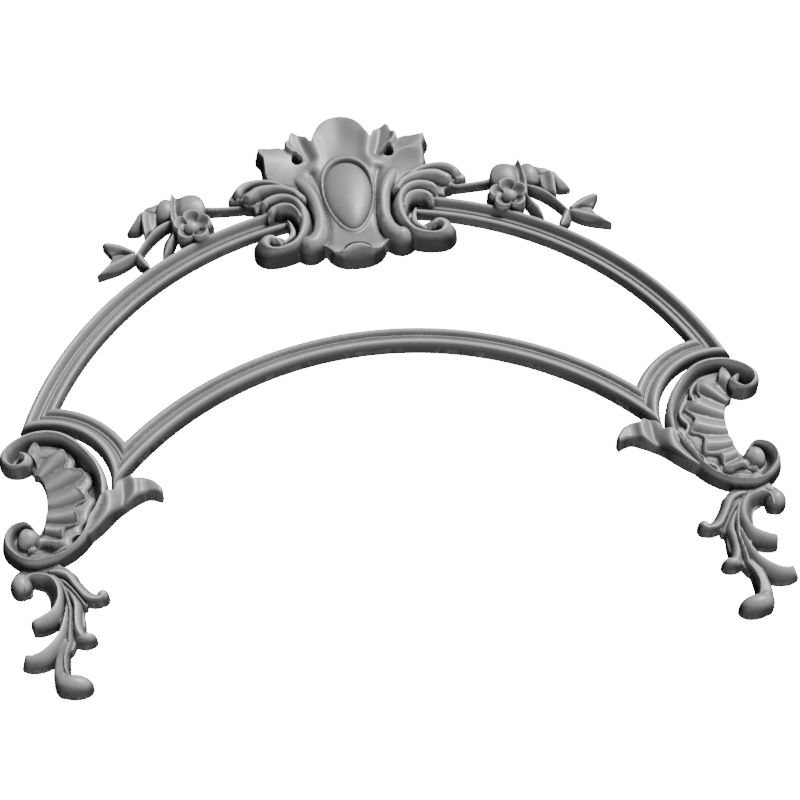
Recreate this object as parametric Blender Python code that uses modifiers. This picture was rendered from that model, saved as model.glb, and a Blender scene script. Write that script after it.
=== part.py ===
"""Carved arched crest: a moulded crescent frame with a cartouche, flower sprays, rocailles and leaf drops.

The face is drawn in millimetres on a sheet with x to the right and z up, as one half that is mirrored at
x = 0. Every form is a stroke, a dome or a leaf with a height over the flat back, and the highest form wins.
"""

import math

import bmesh
import bpy
import numpy as np
from mathutils import Matrix

# Driving dimensions, in millimetres on the drawing
HALF_WIDTH = 630.0
SHEET_TOP = 950.0
SHEET_BOTTOM = -180.0
MOUNT_HEIGHT = 760.0
GRID = 2.5
THINNEST = 4.0
TRIANGLES = 9400

# The four arcs that bound the crescent opening, and the moulding that runs round it
UPPER_CENTRE, UPPER_RADIUS = 135.0, 576.0
LOWER_CENTRE, LOWER_RADIUS = -145.0, 601.0
END_X, END_Z, END_RADIUS = 564.0, 208.0, 158.5
RAIL_WIDTH = 44.0
RAIL_STOP = 116.0
RAIL_FOOT = 190.0
RAIL_SECTION = [
    (0, 12), (1.2, 15), (4, 18), (7, 19), (10.5, 18), (13.5, 14.5), (15.5, 12.5), (16.6, 14.6), (18.6, 15.6),
    (20.4, 14), (22, 13.4), (25, 15), (28, 19), (31, 23.2), (34.5, 25), (38, 23.6), (41, 19.5), (43, 15.5),
    (44, 12),
]

# How an edge falls on to what lies under it
FALL = 9.0
FALL_REACH = 4.0

# Sections across a stroke: 1 on its crest, 0 at its edge
SECTIONS = {
    "round": lambda u: np.sqrt(np.maximum(0, 1 - u * u)),
    "soft": lambda u: 0.5 + 0.5 * np.cos(np.pi * u),
    "dome": lambda u: 1 - u * u,
    "swoop": lambda u: 0.5 + 0.5 * np.cos(np.pi * u**0.62),
    "full": lambda u: np.sqrt(np.maximum(0, 1 - u**4)),
    "bevel": lambda u: 1 - u,
}


def smooth_path(rows, closed=False, spacing=1.6):
    """Points along a smooth curve through the rows; every column is carried along."""
    rows = np.asarray(rows, float)
    if closed:
        rows = np.vstack([rows[-1:], rows, rows[:2]])
    else:
        rows = np.vstack([2 * rows[0] - rows[1], rows, 2 * rows[-1] - rows[-2]])
    pieces = []
    for before, start, end, after in zip(rows, rows[1:], rows[2:], rows[3:]):
        length = max(math.dist(start[:2], end[:2]), 1e-6)
        lead = max(math.dist(before[:2], start[:2]), 1e-6)
        tail = max(math.dist(end[:2], after[:2]), 1e-6)
        leave = ((end - start) * lead + (start - before) * length**2 / lead) / (lead + length)
        arrive = ((after - end) * length**2 / tail + (end - start) * tail) / (length + tail)
        count = max(2, math.ceil(length / spacing))
        t = (np.arange(count) / count)[:, None]
        pieces.append(
            (2 * t**3 - 3 * t**2 + 1) * start + (t**3 - 2 * t**2 + t) * leave
            + (3 * t**2 - 2 * t**3) * end + (t**3 - t**2) * arrive
        )
    if not closed:
        pieces.append(rows[-2][None])
    return np.vstack(pieces)


def outline_path(points, corners=()):
    """A closed outline, smooth but for the points whose places are listed in corners."""
    points = [tuple(point) for point in points]
    if not corners:
        return smooth_path(points, closed=True)
    pieces = []
    for start, end in zip(corners, list(corners[1:]) + [corners[0] + len(points)]):
        run = [points[k % len(points)] for k in range(start, end + 1)]
        pieces.append(smooth_path(run)[:-1])
    return np.vstack(pieces)


def nearest(x, z, path):
    """For each point: its place along the path, its side (left is positive) and its distance."""
    start, step = path[:-1, :2], np.diff(path[:, :2], axis=0)
    length = (step**2).sum(axis=1) + 1e-12
    place, side, distance = np.zeros(len(x)), np.zeros(len(x)), np.zeros(len(x))
    batch = max(1, 4000000 // len(start))
    for k in range(0, len(x), batch):
        dx = x[k:k + batch, None] - start[None, :, 0]
        dz = z[k:k + batch, None] - start[None, :, 1]
        t = np.clip((dx * step[:, 0] + dz * step[:, 1]) / length, 0, 1)
        dx = dx - t * step[:, 0]
        dz = dz - t * step[:, 1]
        gap = dx * dx + dz * dz
        best = gap.argmin(axis=1)
        row = np.arange(len(best))
        place[k:k + batch] = best + t[row, best]
        side[k:k + batch] = step[best, 0] * dz[row, best] - step[best, 1] * dx[row, best]
        distance[k:k + batch] = np.sqrt(gap[row, best])
    return place, side, distance


def within(x, z, loop):
    """True for the points inside a closed loop."""
    after = np.roll(loop, -1, axis=0)
    found = np.zeros(len(x), bool)
    batch = max(1, 4000000 // len(loop))
    rise = np.where(after[:, 1] == loop[:, 1], 1e-9, after[:, 1] - loop[:, 1])
    for k in range(0, len(x), batch):
        px, pz = x[k:k + batch, None], z[k:k + batch, None]
        spans = (loop[:, 1] > pz) != (after[:, 1] > pz)
        crossing = loop[:, 0] + (pz - loop[:, 1]) * (after[:, 0] - loop[:, 0]) / rise
        found[k:k + batch] = (spans & (px < crossing)).sum(axis=1) % 2 == 1
    return found


def crease(x, z, points, width):
    """1 on a line through the points, fading to 0 away from it: for ridges and furrows on a leaf."""
    distance = nearest(x, z, smooth_path(points))[2]
    return np.exp(-((distance / width) ** 2))


class Carving:
    """Heights over the flat back at the given points, and how far inside the outline each point lies."""

    def __init__(self, x, z):
        self.x = np.abs(x)
        self.z = np.asarray(z, float)
        self.inside = np.full(len(self.x), -1000.0)
        self.height = np.zeros(len(self.x))

    def around(self, points, reach):
        low, high = points[:, :2].min(axis=0) - reach, points[:, :2].max(axis=0) + reach
        across = (self.x > low[0]) & (self.x < high[0])
        return np.nonzero(across & (self.z > low[1]) & (self.z < high[1]))[0]

    def raise_to(self, where, inside, height):
        """The highest form wins, and past its own edge a form falls away steeply."""
        self.inside[where] = np.maximum(self.inside[where], inside)
        height = height - np.maximum(0, -inside) * FALL
        near = inside > -FALL_REACH
        self.height[where[near]] = np.maximum(self.height[where[near]], height[near])

    def stroke(self, rows, left="round", right="round", rims=(8, 8), square=False):
        """A scroll or frond. A row is x, z, crest height, width to the left and width to the right."""
        path = smooth_path(rows)
        where = self.around(path, np.abs(path[:, 3:5]).max() + FALL_REACH)
        place, side, distance = nearest(self.x[where], self.z[where], path)
        k = np.minimum(place.astype(int), len(path) - 2)
        t = (place - k)[:, None]
        row = path[k] * (1 - t) + path[k + 1] * t
        on_left = side >= 0
        width = np.maximum(np.where(on_left, row[:, 3], row[:, 4]), 0.3)
        rim = np.minimum(np.where(on_left, rims[0], rims[1]), row[:, 2])
        u = np.clip(distance / width, 0, 1)
        shape = np.where(on_left, SECTIONS[left](u), SECTIONS[right](u))
        inside = width - distance
        if square:
            end = path[-1] - path[-2]
            end = end / math.hypot(end[0], end[1])
            past = (self.x[where] - path[-1, 0]) * end[0] + (self.z[where] - path[-1, 1]) * end[1]
            near_end = place > len(path) - 14
            inside = np.where(near_end, np.minimum(inside, -past), inside)
            shape = np.where(near_end, shape * SECTIONS["round"](np.clip(1 + past / 7, 0, 1)), shape)
        self.raise_to(where, inside, rim + (row[:, 2] - rim) * shape)

    def dome(self, x, z, half_x, half_z, top, rim, turn=0.0):
        """A round or oval boss."""
        where = self.around(np.array([[x, z]]), max(half_x, half_z) + FALL_REACH)
        cos, sin = math.cos(math.radians(turn)), math.sin(math.radians(turn))
        dx, dz = self.x[where] - x, self.z[where] - z
        a, b = (dx * cos + dz * sin) / half_x, (dz * cos - dx * sin) / half_z
        u = np.hypot(a, b)
        slope = np.hypot(a / half_x, b / half_z) + 1e-9
        inside = np.where(u < 0.001, min(half_x, half_z), (1 - u) * u / slope)
        self.raise_to(where, inside, rim + (top - rim) * SECTIONS["round"](np.clip(u, 0, 1)))

    def leaf(self, points, surface, edge, drop, corners=()):
        """A sheet inside an outline: its surface is a function, and it rounds off by drop over edge."""
        loop = outline_path(points, corners)
        where = self.around(loop, FALL_REACH)
        x, z = self.x[where], self.z[where]
        distance = nearest(x, z, np.vstack([loop, loop[:1]]))[2]
        inside = np.where(within(x, z, loop), distance, -distance)
        rounding = 1 - SECTIONS["round"](np.clip(1 - np.maximum(inside, 0) / edge, 0, 1))
        self.raise_to(where, inside, surface(x, z, np.maximum(inside, 0)) - drop * rounding)

    def cut(self, points, corners=()):
        """An opening right through."""
        loop = outline_path(points, corners)
        where = self.around(loop, FALL_REACH)
        x, z = self.x[where], self.z[where]
        distance = nearest(x, z, np.vstack([loop, loop[:1]]))[2]
        outside = np.where(within(x, z, loop), -distance, distance)
        self.inside[where] = np.minimum(self.inside[where], outside)


def level(height):
    return lambda x, z, inside: height + 0 * x


def carve_frame(relief):
    """The moulding runs round the opening, so its distance from the opening gives true mitres."""
    x, z = relief.x, relief.z
    upper = np.hypot(x, z - UPPER_CENTRE) - UPPER_RADIUS
    lower = LOWER_RADIUS - np.hypot(x, z - LOWER_CENTRE)
    end = END_RADIUS - np.hypot(x - END_X, z - END_Z)
    across = np.maximum(np.maximum(upper, lower), end)
    inside = np.minimum(np.minimum(across, RAIL_WIDTH - across), z - RAIL_FOOT)
    under_scroll = (upper > lower) & (upper > -60) & (z > 500)
    inside = np.where(under_scroll, np.minimum(inside, x - RAIL_STOP), inside)
    where = np.nonzero(inside > -FALL_REACH)[0]
    relief.raise_to(where, inside[where], np.interp(across, *zip(*RAIL_SECTION))[where])


def carve_drop(relief):
    """Leafy drop under a rocaille: five curled fronds off one spine, and a stem with an end comma."""
    # the saddle that joins the drop to the scroll above
    relief.leaf([(598, 72), (598, 59), (607, 50), (612, 40), (600, 34), (570, 44), (545, 44), (520, 46),
                 (526, 53), (534, 58), (536, 72)], level(17), 4, 4)
    relief.stroke([(587, 59, 17, 2, 3), (567, 60, 20, 3, 4), (546, 62, 17, 2, 3)], "soft", "soft", (15, 15))
    # arch from the outer knob over to the upper outer frond
    relief.stroke([(590, 20, 27, 9, 8), (590, 28, 28.5, 10, 8), (588, 35, 29, 11, 8), (581, 40, 29, 12, 8),
                   (566, 39, 29, 15, 8), (552, 33, 29, 17, 9), (543, 19, 29, 17, 11), (540, 2, 29.5, 16, 13),
                   (543, -13, 30, 13, 15), (550, -25, 30, 8, 22), (564, -35, 30, 4, 22),
                   (578, -41, 29, 3, 18), (585, -43, 28, 3, 14)], "swoop", "dome", (7, 9), square=True)
    relief.dome(598, 30, 17.5, 20.5, 30, 8)
    # lower outer frond
    relief.stroke([(529, -16, 24, 3, 5), (530, -29, 28, 3, 7), (532, -40, 29, 3.5, 9), (536, -55, 30, 4, 13),
                   (544, -73, 30, 3.5, 18), (559, -90, 30, 3, 24), (574, -100, 30, 3, 21),
                   (586, -102, 29, 3, 18), (596, -99, 28, 3, 15)], "soft", "dome", (11, 9), square=True)
    # spine
    relief.stroke([(548, 38, 20, 3, 3), (538, 26, 24, 4, 4), (531, 10, 27, 5, 4), (526, -11, 28, 5, 4),
                   (523, -31, 28, 5, 4), (524, -48, 28, 5, 4), (526, -66, 27, 5, 5), (527, -80, 25, 5, 5)],
                  "soft", "soft", (19, 20))
    # upper inner frond with a second rib under it
    relief.stroke([(552, 46, 22, 3, 8), (542, 43, 25, 3, 12), (528, 35, 27, 3.5, 15), (517, 18, 28, 4, 14),
                   (508, 3, 28, 4, 15), (499, -9, 28, 4, 17), (488, -15, 28, 3.5, 17), (477, -14, 27, 4, 14),
                   (471, -8, 27, 5, 9)], "soft", "dome", (18, 10))
    relief.dome(473.5, -6, 10.5, 11, 27, 10)
    relief.stroke([(550, 39, 21, 3, 4), (543, 31, 24, 4, 4), (534, 26, 25, 4, 5), (522, 12, 26, 4, 5),
                   (510, -6, 25, 4, 5), (501, -20, 21, 4, 4)], "soft", "soft", (17, 18))
    # lower inner frond
    relief.stroke([(530, 14, 24, 3, 4), (527, 9, 25, 3, 5), (520, -5, 27, 3, 9), (516, -19, 28.5, 3, 13),
                   (516, -37, 28.5, 3.5, 13), (516, -53, 28.5, 4, 13), (513, -68, 28.5, 6, 14),
                   (507, -77, 28, 8, 12), (500, -78, 28, 9, 8)], "soft", "dome", (21, 10))
    relief.dome(502, -79, 17, 11, 29, 9)
    # ground that joins the fronds
    relief.leaf([(550, -18), (548, 6), (552, 22), (560, 34), (556, 52), (534, 50), (520, 36), (511, 8),
                 (505, -20), (503, -62), (516, -84), (526, -100), (544, -100), (546, -72), (541, -54)],
                level(17), 2, 2)
    # stem with its gouged end, and the end comma
    relief.stroke([(533, -82, 22, 8, 8), (537, -100, 23, 12, 10), (539, -118, 24, 13, 11),
                   (541, -136, 24, 13, 13), (540, -146, 24, 12, 13)], "full", "full", (10, 10))
    relief.stroke([(526, -83, 25, 3, 4), (532, -100, 28, 4, 5), (535, -115, 29, 4, 5), (534, -132, 28, 4, 5),
                   (529, -145, 27, 4, 4)], "soft", "soft", (21, 18))
    relief.dome(523.5, -155.5, 29.5, 17.5, 34, 9, turn=10)
    relief.dome(538, -148, 15.5, 21, 28, 9)


SHELL_EYE = (612.0, 182.0)
SHELL_FOLDS = [-90, -74, -57, -40, -18, 10, 37, 52, 80]
SHELL_FOLDS_AT_RIM = [-78, -60, -42, -26, -5, 15, 35, 57, 80]
SHELL_RIM = [
    (573, 232), (568, 241), (567, 251), (572, 261), (579, 270), (576, 278), (566, 285), (561, 280),
    (558, 268), (543, 263), (531, 263), (523, 265), (518, 259), (518, 248), (521, 237), (514, 231),
    (504, 225), (493, 224), (490, 218), (494, 211), (502, 200), (502, 192), (490, 172), (508, 160),
    (507, 146), (504, 135), (506, 128), (514, 125), (526, 121), (529, 114), (531, 94), (538, 90),
    (549, 93), (560, 95), (571, 88), (579, 86), (581, 92), (575, 97), (565, 103), (560, 112), (556, 143),
    (552, 180), (554, 200), (559, 218), (566, 228),
]
UNDER_RIM = [
    (580, 250), (562, 224), (553, 180), (557, 143), (568, 118), (583, 108), (585, 93), (580, 79), (564, 77),
    (556, 81), (546, 80), (530, 86), (518, 93), (517, 103), (511, 108), (502, 111), (500, 124), (489, 136),
    (486, 150), (477, 173), (486, 182), (489, 191), (483, 201), (480, 210), (483, 221), (492, 230),
    (504, 233), (508, 239), (506, 252), (510, 262), (518, 272), (530, 281), (545, 285), (560, 288),
    (572, 289), (578, 278),
]


def shell_surface(x, z, inside):
    """Folds fan out from the shell's eye, and each falls to the next with a rounded step."""
    angle = np.degrees(np.arctan2(z - SHELL_EYE[1], SHELL_EYE[0] - x))
    out = np.clip((np.hypot(x - SHELL_EYE[0], z - SHELL_EYE[1]) - 60) / 58, 0, 1)
    bounds = [near + (far - near) * out for near, far in zip(SHELL_FOLDS, SHELL_FOLDS_AT_RIM)]
    place = sum(np.clip((angle - low) / (high - low), 0, 1) for low, high in zip(bounds, bounds[1:]))
    wave = 0.5 - 0.5 * np.cos(2 * np.pi * (place % 1) ** 0.7)
    lip = 3 * np.exp(-((inside / 2.6) ** 2)) * np.clip(2 * out - 0.6, 0, 1)
    return 16 + 5 * out**1.5 + (5 + 8 * out) * wave + lip


def skirt_surface(x, z, inside):
    """Slope from the shell's rim down to a thin edge on the ground."""
    out = np.clip((np.hypot(x - SHELL_EYE[0], z - SHELL_EYE[1]) - 76) / 14, 0, 1)
    return 15 + out * (0.45 * np.clip(inside, 0, 8) + 3 * np.exp(-((inside / 2.2) ** 2)))


def carve_rocaille(relief):
    """C-scroll with a pleated shell in its hollow, two volutes and a leaf that reaches inwards."""
    relief.leaf([(463, 175), (466, 225), (480, 255), (500, 278), (540, 298), (585, 290), (585, 250),
                 (578, 247), (562, 222), (553, 180), (557, 143), (566, 122), (600, 120), (600, 80),
                 (560, 68), (520, 78), (495, 95), (478, 135)], level(8), 2, 1)
    relief.leaf([(628, 268), (618, 285), (596, 298), (575, 300), (572, 250), (585, 243), (602, 242),
                 (620, 250)],
                level(11), 2, 2)
    relief.leaf(UNDER_RIM, skirt_surface, 1.5, 1.5)
    relief.leaf(SHELL_RIM, shell_surface, 1.5, 1.5)
    # great scroll, which winds into the upper volute
    relief.stroke([(467, 150, 30, 9, 8), (464, 175, 35, 9, 10), (464.5, 205, 37, 9, 11),
                   (473, 232, 38, 9, 12), (488, 257, 38.5, 9, 12), (507, 279, 39, 9, 12),
                   (528, 294, 39, 9, 11), (550, 300, 39, 9, 10), (574, 298, 39, 9, 12),
                   (593, 291, 39, 8, 15), (608, 280, 38.5, 8, 16), (616, 267, 38, 9, 15),
                   (615, 256, 38, 9, 13), (608, 247, 38, 7, 12), (600, 243, 38, 5, 11),
                   (591, 244, 38, 6, 10), (584, 250, 38, 9, 8), (583, 257, 38, 11, 7),
                   (586, 263, 37, 8, 6), (590, 267, 35, 6, 4)],
                  "round", "swoop", (20, 11))
    # lower band, from the leaf round to the lower volute
    relief.stroke([(467, 170, 33, 6, 9), (474, 150, 36, 6, 11), (484, 133, 37, 6, 13), (494, 107, 37, 6, 11),
                   (515, 81, 37, 6, 8), (532, 70, 37, 6, 7), (549, 65, 37, 6, 7), (577, 63, 37, 12, 8),
                   (593, 69, 37, 16, 8), (606, 81, 37, 16, 9), (614, 94, 37, 14, 10), (616, 108, 37, 13, 10),
                   (614, 118, 37, 12, 9), (606, 128, 37, 11, 8), (596, 132, 37, 9, 8),
                   (588, 133, 36.5, 8, 7), (580, 128, 36, 7, 6),
                   (575, 122, 34, 5, 5)], "swoop", "dome", (12, 6))
    relief.leaf([(534, 66), (560, 62), (592, 66), (612, 78), (622, 98), (620, 116), (605, 132), (585, 132),
                 (566, 121), (575, 100), (570, 84), (545, 80), (500, 96), (480, 130), (468, 170), (458, 165),
                 (462, 135), (476, 112), (504, 84)], level(12), 3, 3)
    relief.leaf([(600, 112), (597, 99), (590, 93), (580, 93), (570, 98), (564, 106), (564, 114), (569, 123),
                 (577, 133), (588, 135), (596, 126)], bulge(584, 113, 33, 16, 22, 22), 9, 9)
    relief.leaf([(470, 172), (457, 180), (449, 184), (446, 195), (437, 206), (424, 211), (418, 209),
                 (412, 201), (400, 204), (385, 197), (374, 184), (368, 173), (370, 162), (376, 165),
                 (392, 170), (411, 162), (426, 153), (441, 142), (458, 125), (474, 110), (490, 100),
                 (486, 125)],
                inner_leaf_surface, 7, 10, corners=(1, 7, 12))


def inner_leaf_surface(x, z, inside):
    """Two furrows between a turned-up tip, a low rib and the high crest of the root."""
    root = [(462, 184), (455, 168), (454, 152), (458, 136), (466, 120), (478, 104), (490, 92)]
    crest = crease(x, z, root, 12)
    rib = crease(x, z, [(413, 206), (411, 184), (413, 166), (422, 152)], 7)
    furrow = crease(x, z, [(429, 212), (430, 188), (430, 166), (436, 146)], 8)
    tip = np.clip((392 - x) / 24, 0, 1)
    return 25 + 12 * crest + 7 * rib - 5 * furrow + 8 * tip


def bulge(x, z, top, fall, half_x, half_z):
    """A rounded surface that falls away from its middle."""
    def surface(px, pz, inside):
        return top - fall * np.clip(np.hypot((px - x) / half_x, (pz - z) / half_z), 0, 1.6) ** 2

    return surface


def ribbed(edge, top, rib, width):
    """A leaf surface with a raised midrib."""
    return lambda x, z, inside: edge + (top - edge) * crease(x, z, rib, width)


def first_cup(x, z, inside):
    """The widest cup of the bud: a rounded back, a dip before its raised mouth and a spike on top."""
    back = 11 * np.clip(np.hypot((x - 281) / 34, (z - 768) / 32), 0, 1.2) ** 2
    mouth = crease(x, z, [(312, 801), (314, 785), (315, 765), (316, 745), (313, 728)], 5)
    dip = crease(x, z, [(302, 784), (304, 765), (305, 745)], 6)
    return np.maximum(32 - back - 5 * dip, 19 + 10 * mouth)


def carve_spray(relief):
    """Bud, five-petalled flower and three-part leaf on stems behind the frame."""
    relief.stroke([(160, 756, 17, 6, 6), (200, 757, 18, 6.5, 6.5), (240, 759, 19, 7, 7),
                   (262, 762, 19, 8, 8)],
                  "round", "round", (6, 6))
    # cups of the bud, each tucked under the one before
    relief.leaf([(364, 770), (373, 762), (380, 750), (396, 733), (395, 727), (385, 724), (372, 725),
                 (366, 742)],
                bulge(372, 756, 24, 9, 26, 26), 5, 9, corners=(3,))
    relief.leaf([(338, 784), (347, 780), (358, 777), (364, 771), (358, 764), (344, 762)], level(20), 4, 6,
                corners=(3,))
    relief.leaf([(343, 763), (352, 763), (361, 765), (367, 757), (368, 744), (367, 729), (366, 714),
                 (365, 700), (357, 714), (347, 722), (343, 730), (342, 745)],
                ribbed(20, 29, [(364, 762), (365, 742), (363, 712)], 8), 3, 6, corners=(7,))
    relief.leaf([(312, 788), (325, 791), (335, 785), (341, 770), (344, 755), (343, 744), (331, 741),
                 (316, 744)],
                bulge(325, 768, 30, 11, 20, 26), 5, 9)
    relief.leaf([(254, 762), (258, 780), (266, 790), (280, 793), (298, 791), (312, 801), (315, 785),
                 (317, 765), (318, 745), (314, 722), (290, 712), (262, 734)], first_cup, 5, 8, corners=(5,))
    # leaves under the flower
    relief.stroke([(258, 742, 20, 5, 6), (250, 728, 24, 7, 6), (249, 714, 24, 6, 6), (252, 705, 18, 3, 3)],
                  "soft", "soft", (12, 12))
    relief.stroke([(311, 716, 24, 9, 4), (315, 703, 26, 11, 7), (321, 690, 26, 12, 8), (327, 677, 25, 9, 7),
                   (333, 662, 20, 4, 4), (336, 654, 15, 1.5, 1.5)], "bevel", "bevel", (11, 11))
    relief.stroke([(312, 741, 21, 3, 8), (335, 729, 23, 3, 10), (348, 718, 23, 3, 10), (362, 701, 22, 3, 9),
                   (380, 673, 19, 4, 7)], "round", "dome", (11, 7))
    carve_flower(relief, 280.0, 713.5, 34.5)
    # three-part leaf
    relief.leaf([(383, 681), (392, 690), (401, 698), (415, 706), (431, 709), (440, 702), (436, 694),
                 (430, 684), (426, 679), (406, 682), (386, 674)],
                ribbed(12, 20, [(386, 677), (408, 691), (434, 702)], 8), 4, 5, corners=(5, 8))
    relief.leaf([(380, 672), (386, 674), (406, 683), (424, 680), (428, 668), (438, 648), (453, 631),
                 (448, 632), (430, 637), (412, 643), (397, 651), (385, 661)],
                ribbed(12, 21, [(384, 673), (402, 664), (435, 646), (450, 632)], 8), 4, 5, corners=(3, 6))
    relief.leaf([(374, 676), (384, 672), (385, 663), (380, 648), (372, 641), (360, 637), (360, 650),
                 (366, 664)],
                ribbed(12, 20, [(378, 670), (371, 656), (362, 641)], 7), 4, 5, corners=(5,))


def carve_flower(relief, x, z, size):
    """Five cupped petals with raised rims round a boss, the first petal pointing up."""
    where = relief.around(np.array([[x, z]]), size + FALL_REACH)
    dx, dz = relief.x[where] - x, relief.z[where] - z
    out = np.hypot(dx, dz)
    petal = np.abs(np.cos(2.5 * (np.arctan2(dz, dx) - math.pi / 2)))
    edge = size * (0.69 + 0.31 * petal**0.55)
    u = np.clip(out / edge, 0, 1)
    cup = np.clip((u - 0.45) / 0.45, 0, 1) ** 2
    between = np.clip(1 - petal / 0.4, 0, 1)
    rounding = 2 * np.clip((u - 0.93) / 0.07, 0, 1) ** 2
    relief.raise_to(where, (edge - out) * 0.92, 25 + 11 * cup + 4 * between * (1 - cup) - rounding)
    relief.dome(x + 1, z - 3, 13.5, 13, 39, 25)


BODY_SIDE = [
    (12, 937), (26, 930), (40, 916), (49, 896), (54, 885), (62, 899), (73, 907), (86, 914), (91, 905),
    (93, 896), (99, 889), (103, 874), (114, 877), (128, 876), (150, 878), (157, 868), (150, 854),
    (148, 838), (149, 822), (148, 808), (139, 799), (110, 790), (85, 765), (72, 730), (68, 690),
    (70, 655), (62, 640), (53, 632), (46, 620), (36, 610), (22, 604),
]
BODY_CORNERS = [4, 7, 11, 14]
OVAL_CENTRE, OVAL_HALF_WIDTH, OVAL_HALF_HEIGHT = 754.0, 42.0, 82.0
TURNED_BACK_FROM = [(799, 137), (820, 142), (850, 142), (868, 150)]


def mirrored(side, top, bottom, corners):
    """A closed outline from its right side, with the places of its corners on both sides."""
    outline = [top] + side + [bottom] + [(-x, z) for x, z in reversed(side)]
    places = [k + 1 for k in corners]
    return outline, sorted(places + [len(outline) - k for k in places])


def oval_width(z):
    return OVAL_HALF_WIDTH * (1 + 0.2 * np.clip((z - OVAL_CENTRE) / OVAL_HALF_HEIGHT, -1, 1))


def oval_place(x, z):
    """0 in the middle of the oval boss and 1 on its edge."""
    return np.hypot(x / oval_width(z), (z - OVAL_CENTRE) / OVAL_HALF_HEIGHT)


def oval_surface(x, z, inside):
    u = np.clip(oval_place(x, z), 0, 1)
    return 17 + 20 * SECTIONS["round"](u) - 4 * (1 - u) * (z - OVAL_CENTRE) / OVAL_HALF_HEIGHT


def body_surface(x, z, inside):
    """The panel: hollow lobes with folds between them, a ring round the oval and a foot that swells."""
    lobe = 13 * np.clip((z - 830) / 108, 0, 1) ** 1.3
    hollow = 5 * np.exp(-((x / 28) ** 2)) * np.clip((z - 836) / 50, 0, 1)
    fold = 5 * crease(x, z, [(52, 892), (49, 872), (46, 850), (50, 826)], 12)
    ear = 6 * crease(x, z, [(76, 912), (73, 893), (67, 872), (58, 848)], 11)
    ear_rim = 8 * crease(x, z, [(98, 884), (96, 873), (89, 864), (80, 856), (73, 846)], 5)
    wing = 13 * np.clip((x - 85) / 55, 0, 1) * np.exp(-(((z - 846) / 32) ** 2))
    turned_back = 22 * np.clip((x - np.interp(z, *zip(*TURNED_BACK_FROM))) / 6, 0, 1)
    valley = 5 * crease(x, z, [(60, 810), (52, 780), (48, 740), (46, 700), (46, 665), (48, 640)], 7)
    foot = 12 * np.clip((676 - z) / 50, 0, 1) ** 1.3
    past = (oval_place(x, z) - 1) * OVAL_HALF_WIDTH
    ring = 4 * np.exp(-(((past - 2.2) / 2) ** 2))
    sunk = 9 * np.clip(-past / 2, 0, 1)
    under_lip = 30 * np.clip((np.interp(np.abs(x), LIP_ACROSS, LIP_TOP) - 1 - z) / 4, 0, 1)
    raised = lobe + fold + ear_rim + wing + foot + ring
    return 25 + raised - hollow - ear - turned_back - valley - sunk - under_lip


LIP_ACROSS = [0, 9, 17, 26, 40, 54]
LIP_TOP = [629, 628, 623.5, 615, 616, 630]
LIP_FOOT = [602, 602.5, 603, 605.5, 613, 630]


def lip_surface(x, z, inside):
    """The rolled lip: highest a little under its upper edge, then rounded down to its foot."""
    x = np.abs(x)
    top, foot = np.interp(x, LIP_ACROSS, LIP_TOP), np.interp(x, LIP_ACROSS, LIP_FOOT)
    u = np.clip((top - z) / np.maximum(top - foot, 2), 0, 1)
    return 5 + (41 - 6 * (x / 54) ** 2) * SECTIONS["dome"](u) - 6 * (1 - u) ** 5


def carve_cartouche(relief):
    """Leafy panel with an oval boss, a rolled lip and an S moulding on each side."""
    outline, corners = mirrored(BODY_SIDE, (0, 939), (0, 602), BODY_CORNERS)
    relief.leaf(outline, body_surface, 3, 4, corners)
    turn = np.linspace(-math.pi / 2, math.pi / 2, 29)
    heights = OVAL_CENTRE + OVAL_HALF_HEIGHT * np.sin(turn)
    oval = [(oval_width(z) * math.cos(t), z) for t, z in zip(turn, heights)]
    relief.leaf(oval + [(-x, z) for x, z in oval[-2:0:-1]], oval_surface, 1.5, 1)
    side = list(zip(LIP_ACROSS, LIP_TOP)) + list(zip(LIP_ACROSS, LIP_FOOT))[-2:0:-1]
    lip = side + [(0, LIP_FOOT[0])] + [(-x, z) for x, z in side[:0:-1]]
    relief.leaf(lip, lip_surface, 1.5, 1, corners=(5, 16))
    relief.stroke([(92, 807, 23, 8, 13), (85, 799, 29, 10, 18), (77, 785, 34, 12, 20),
                   (69, 769, 37.5, 14, 18), (62, 751, 39, 15, 16), (58, 735, 40, 14, 13),
                   (56, 717, 40.5, 13, 14), (55, 699, 41, 13, 17), (57, 681, 41.5, 14, 19),
                   (62, 664, 42, 14, 20), (68, 652, 42, 13, 18), (74, 645, 42, 12, 16)],
                  "round", "soft", (22, 20))
    relief.stroke([(58, 700, 38, 6, 8), (57, 681, 41, 12, 14), (62, 664, 43.5, 16, 18),
                   (68, 652, 45, 19, 21), (75, 644, 46, 22, 21),
                   (80, 642, 46, 23, 21)], "round", "round", (14, 8))
    relief.dome(80, 643, 25, 22.5, 46, 5)
    carve_side_scroll(relief)


VOLUTE = (145.5, 654.0)


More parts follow.
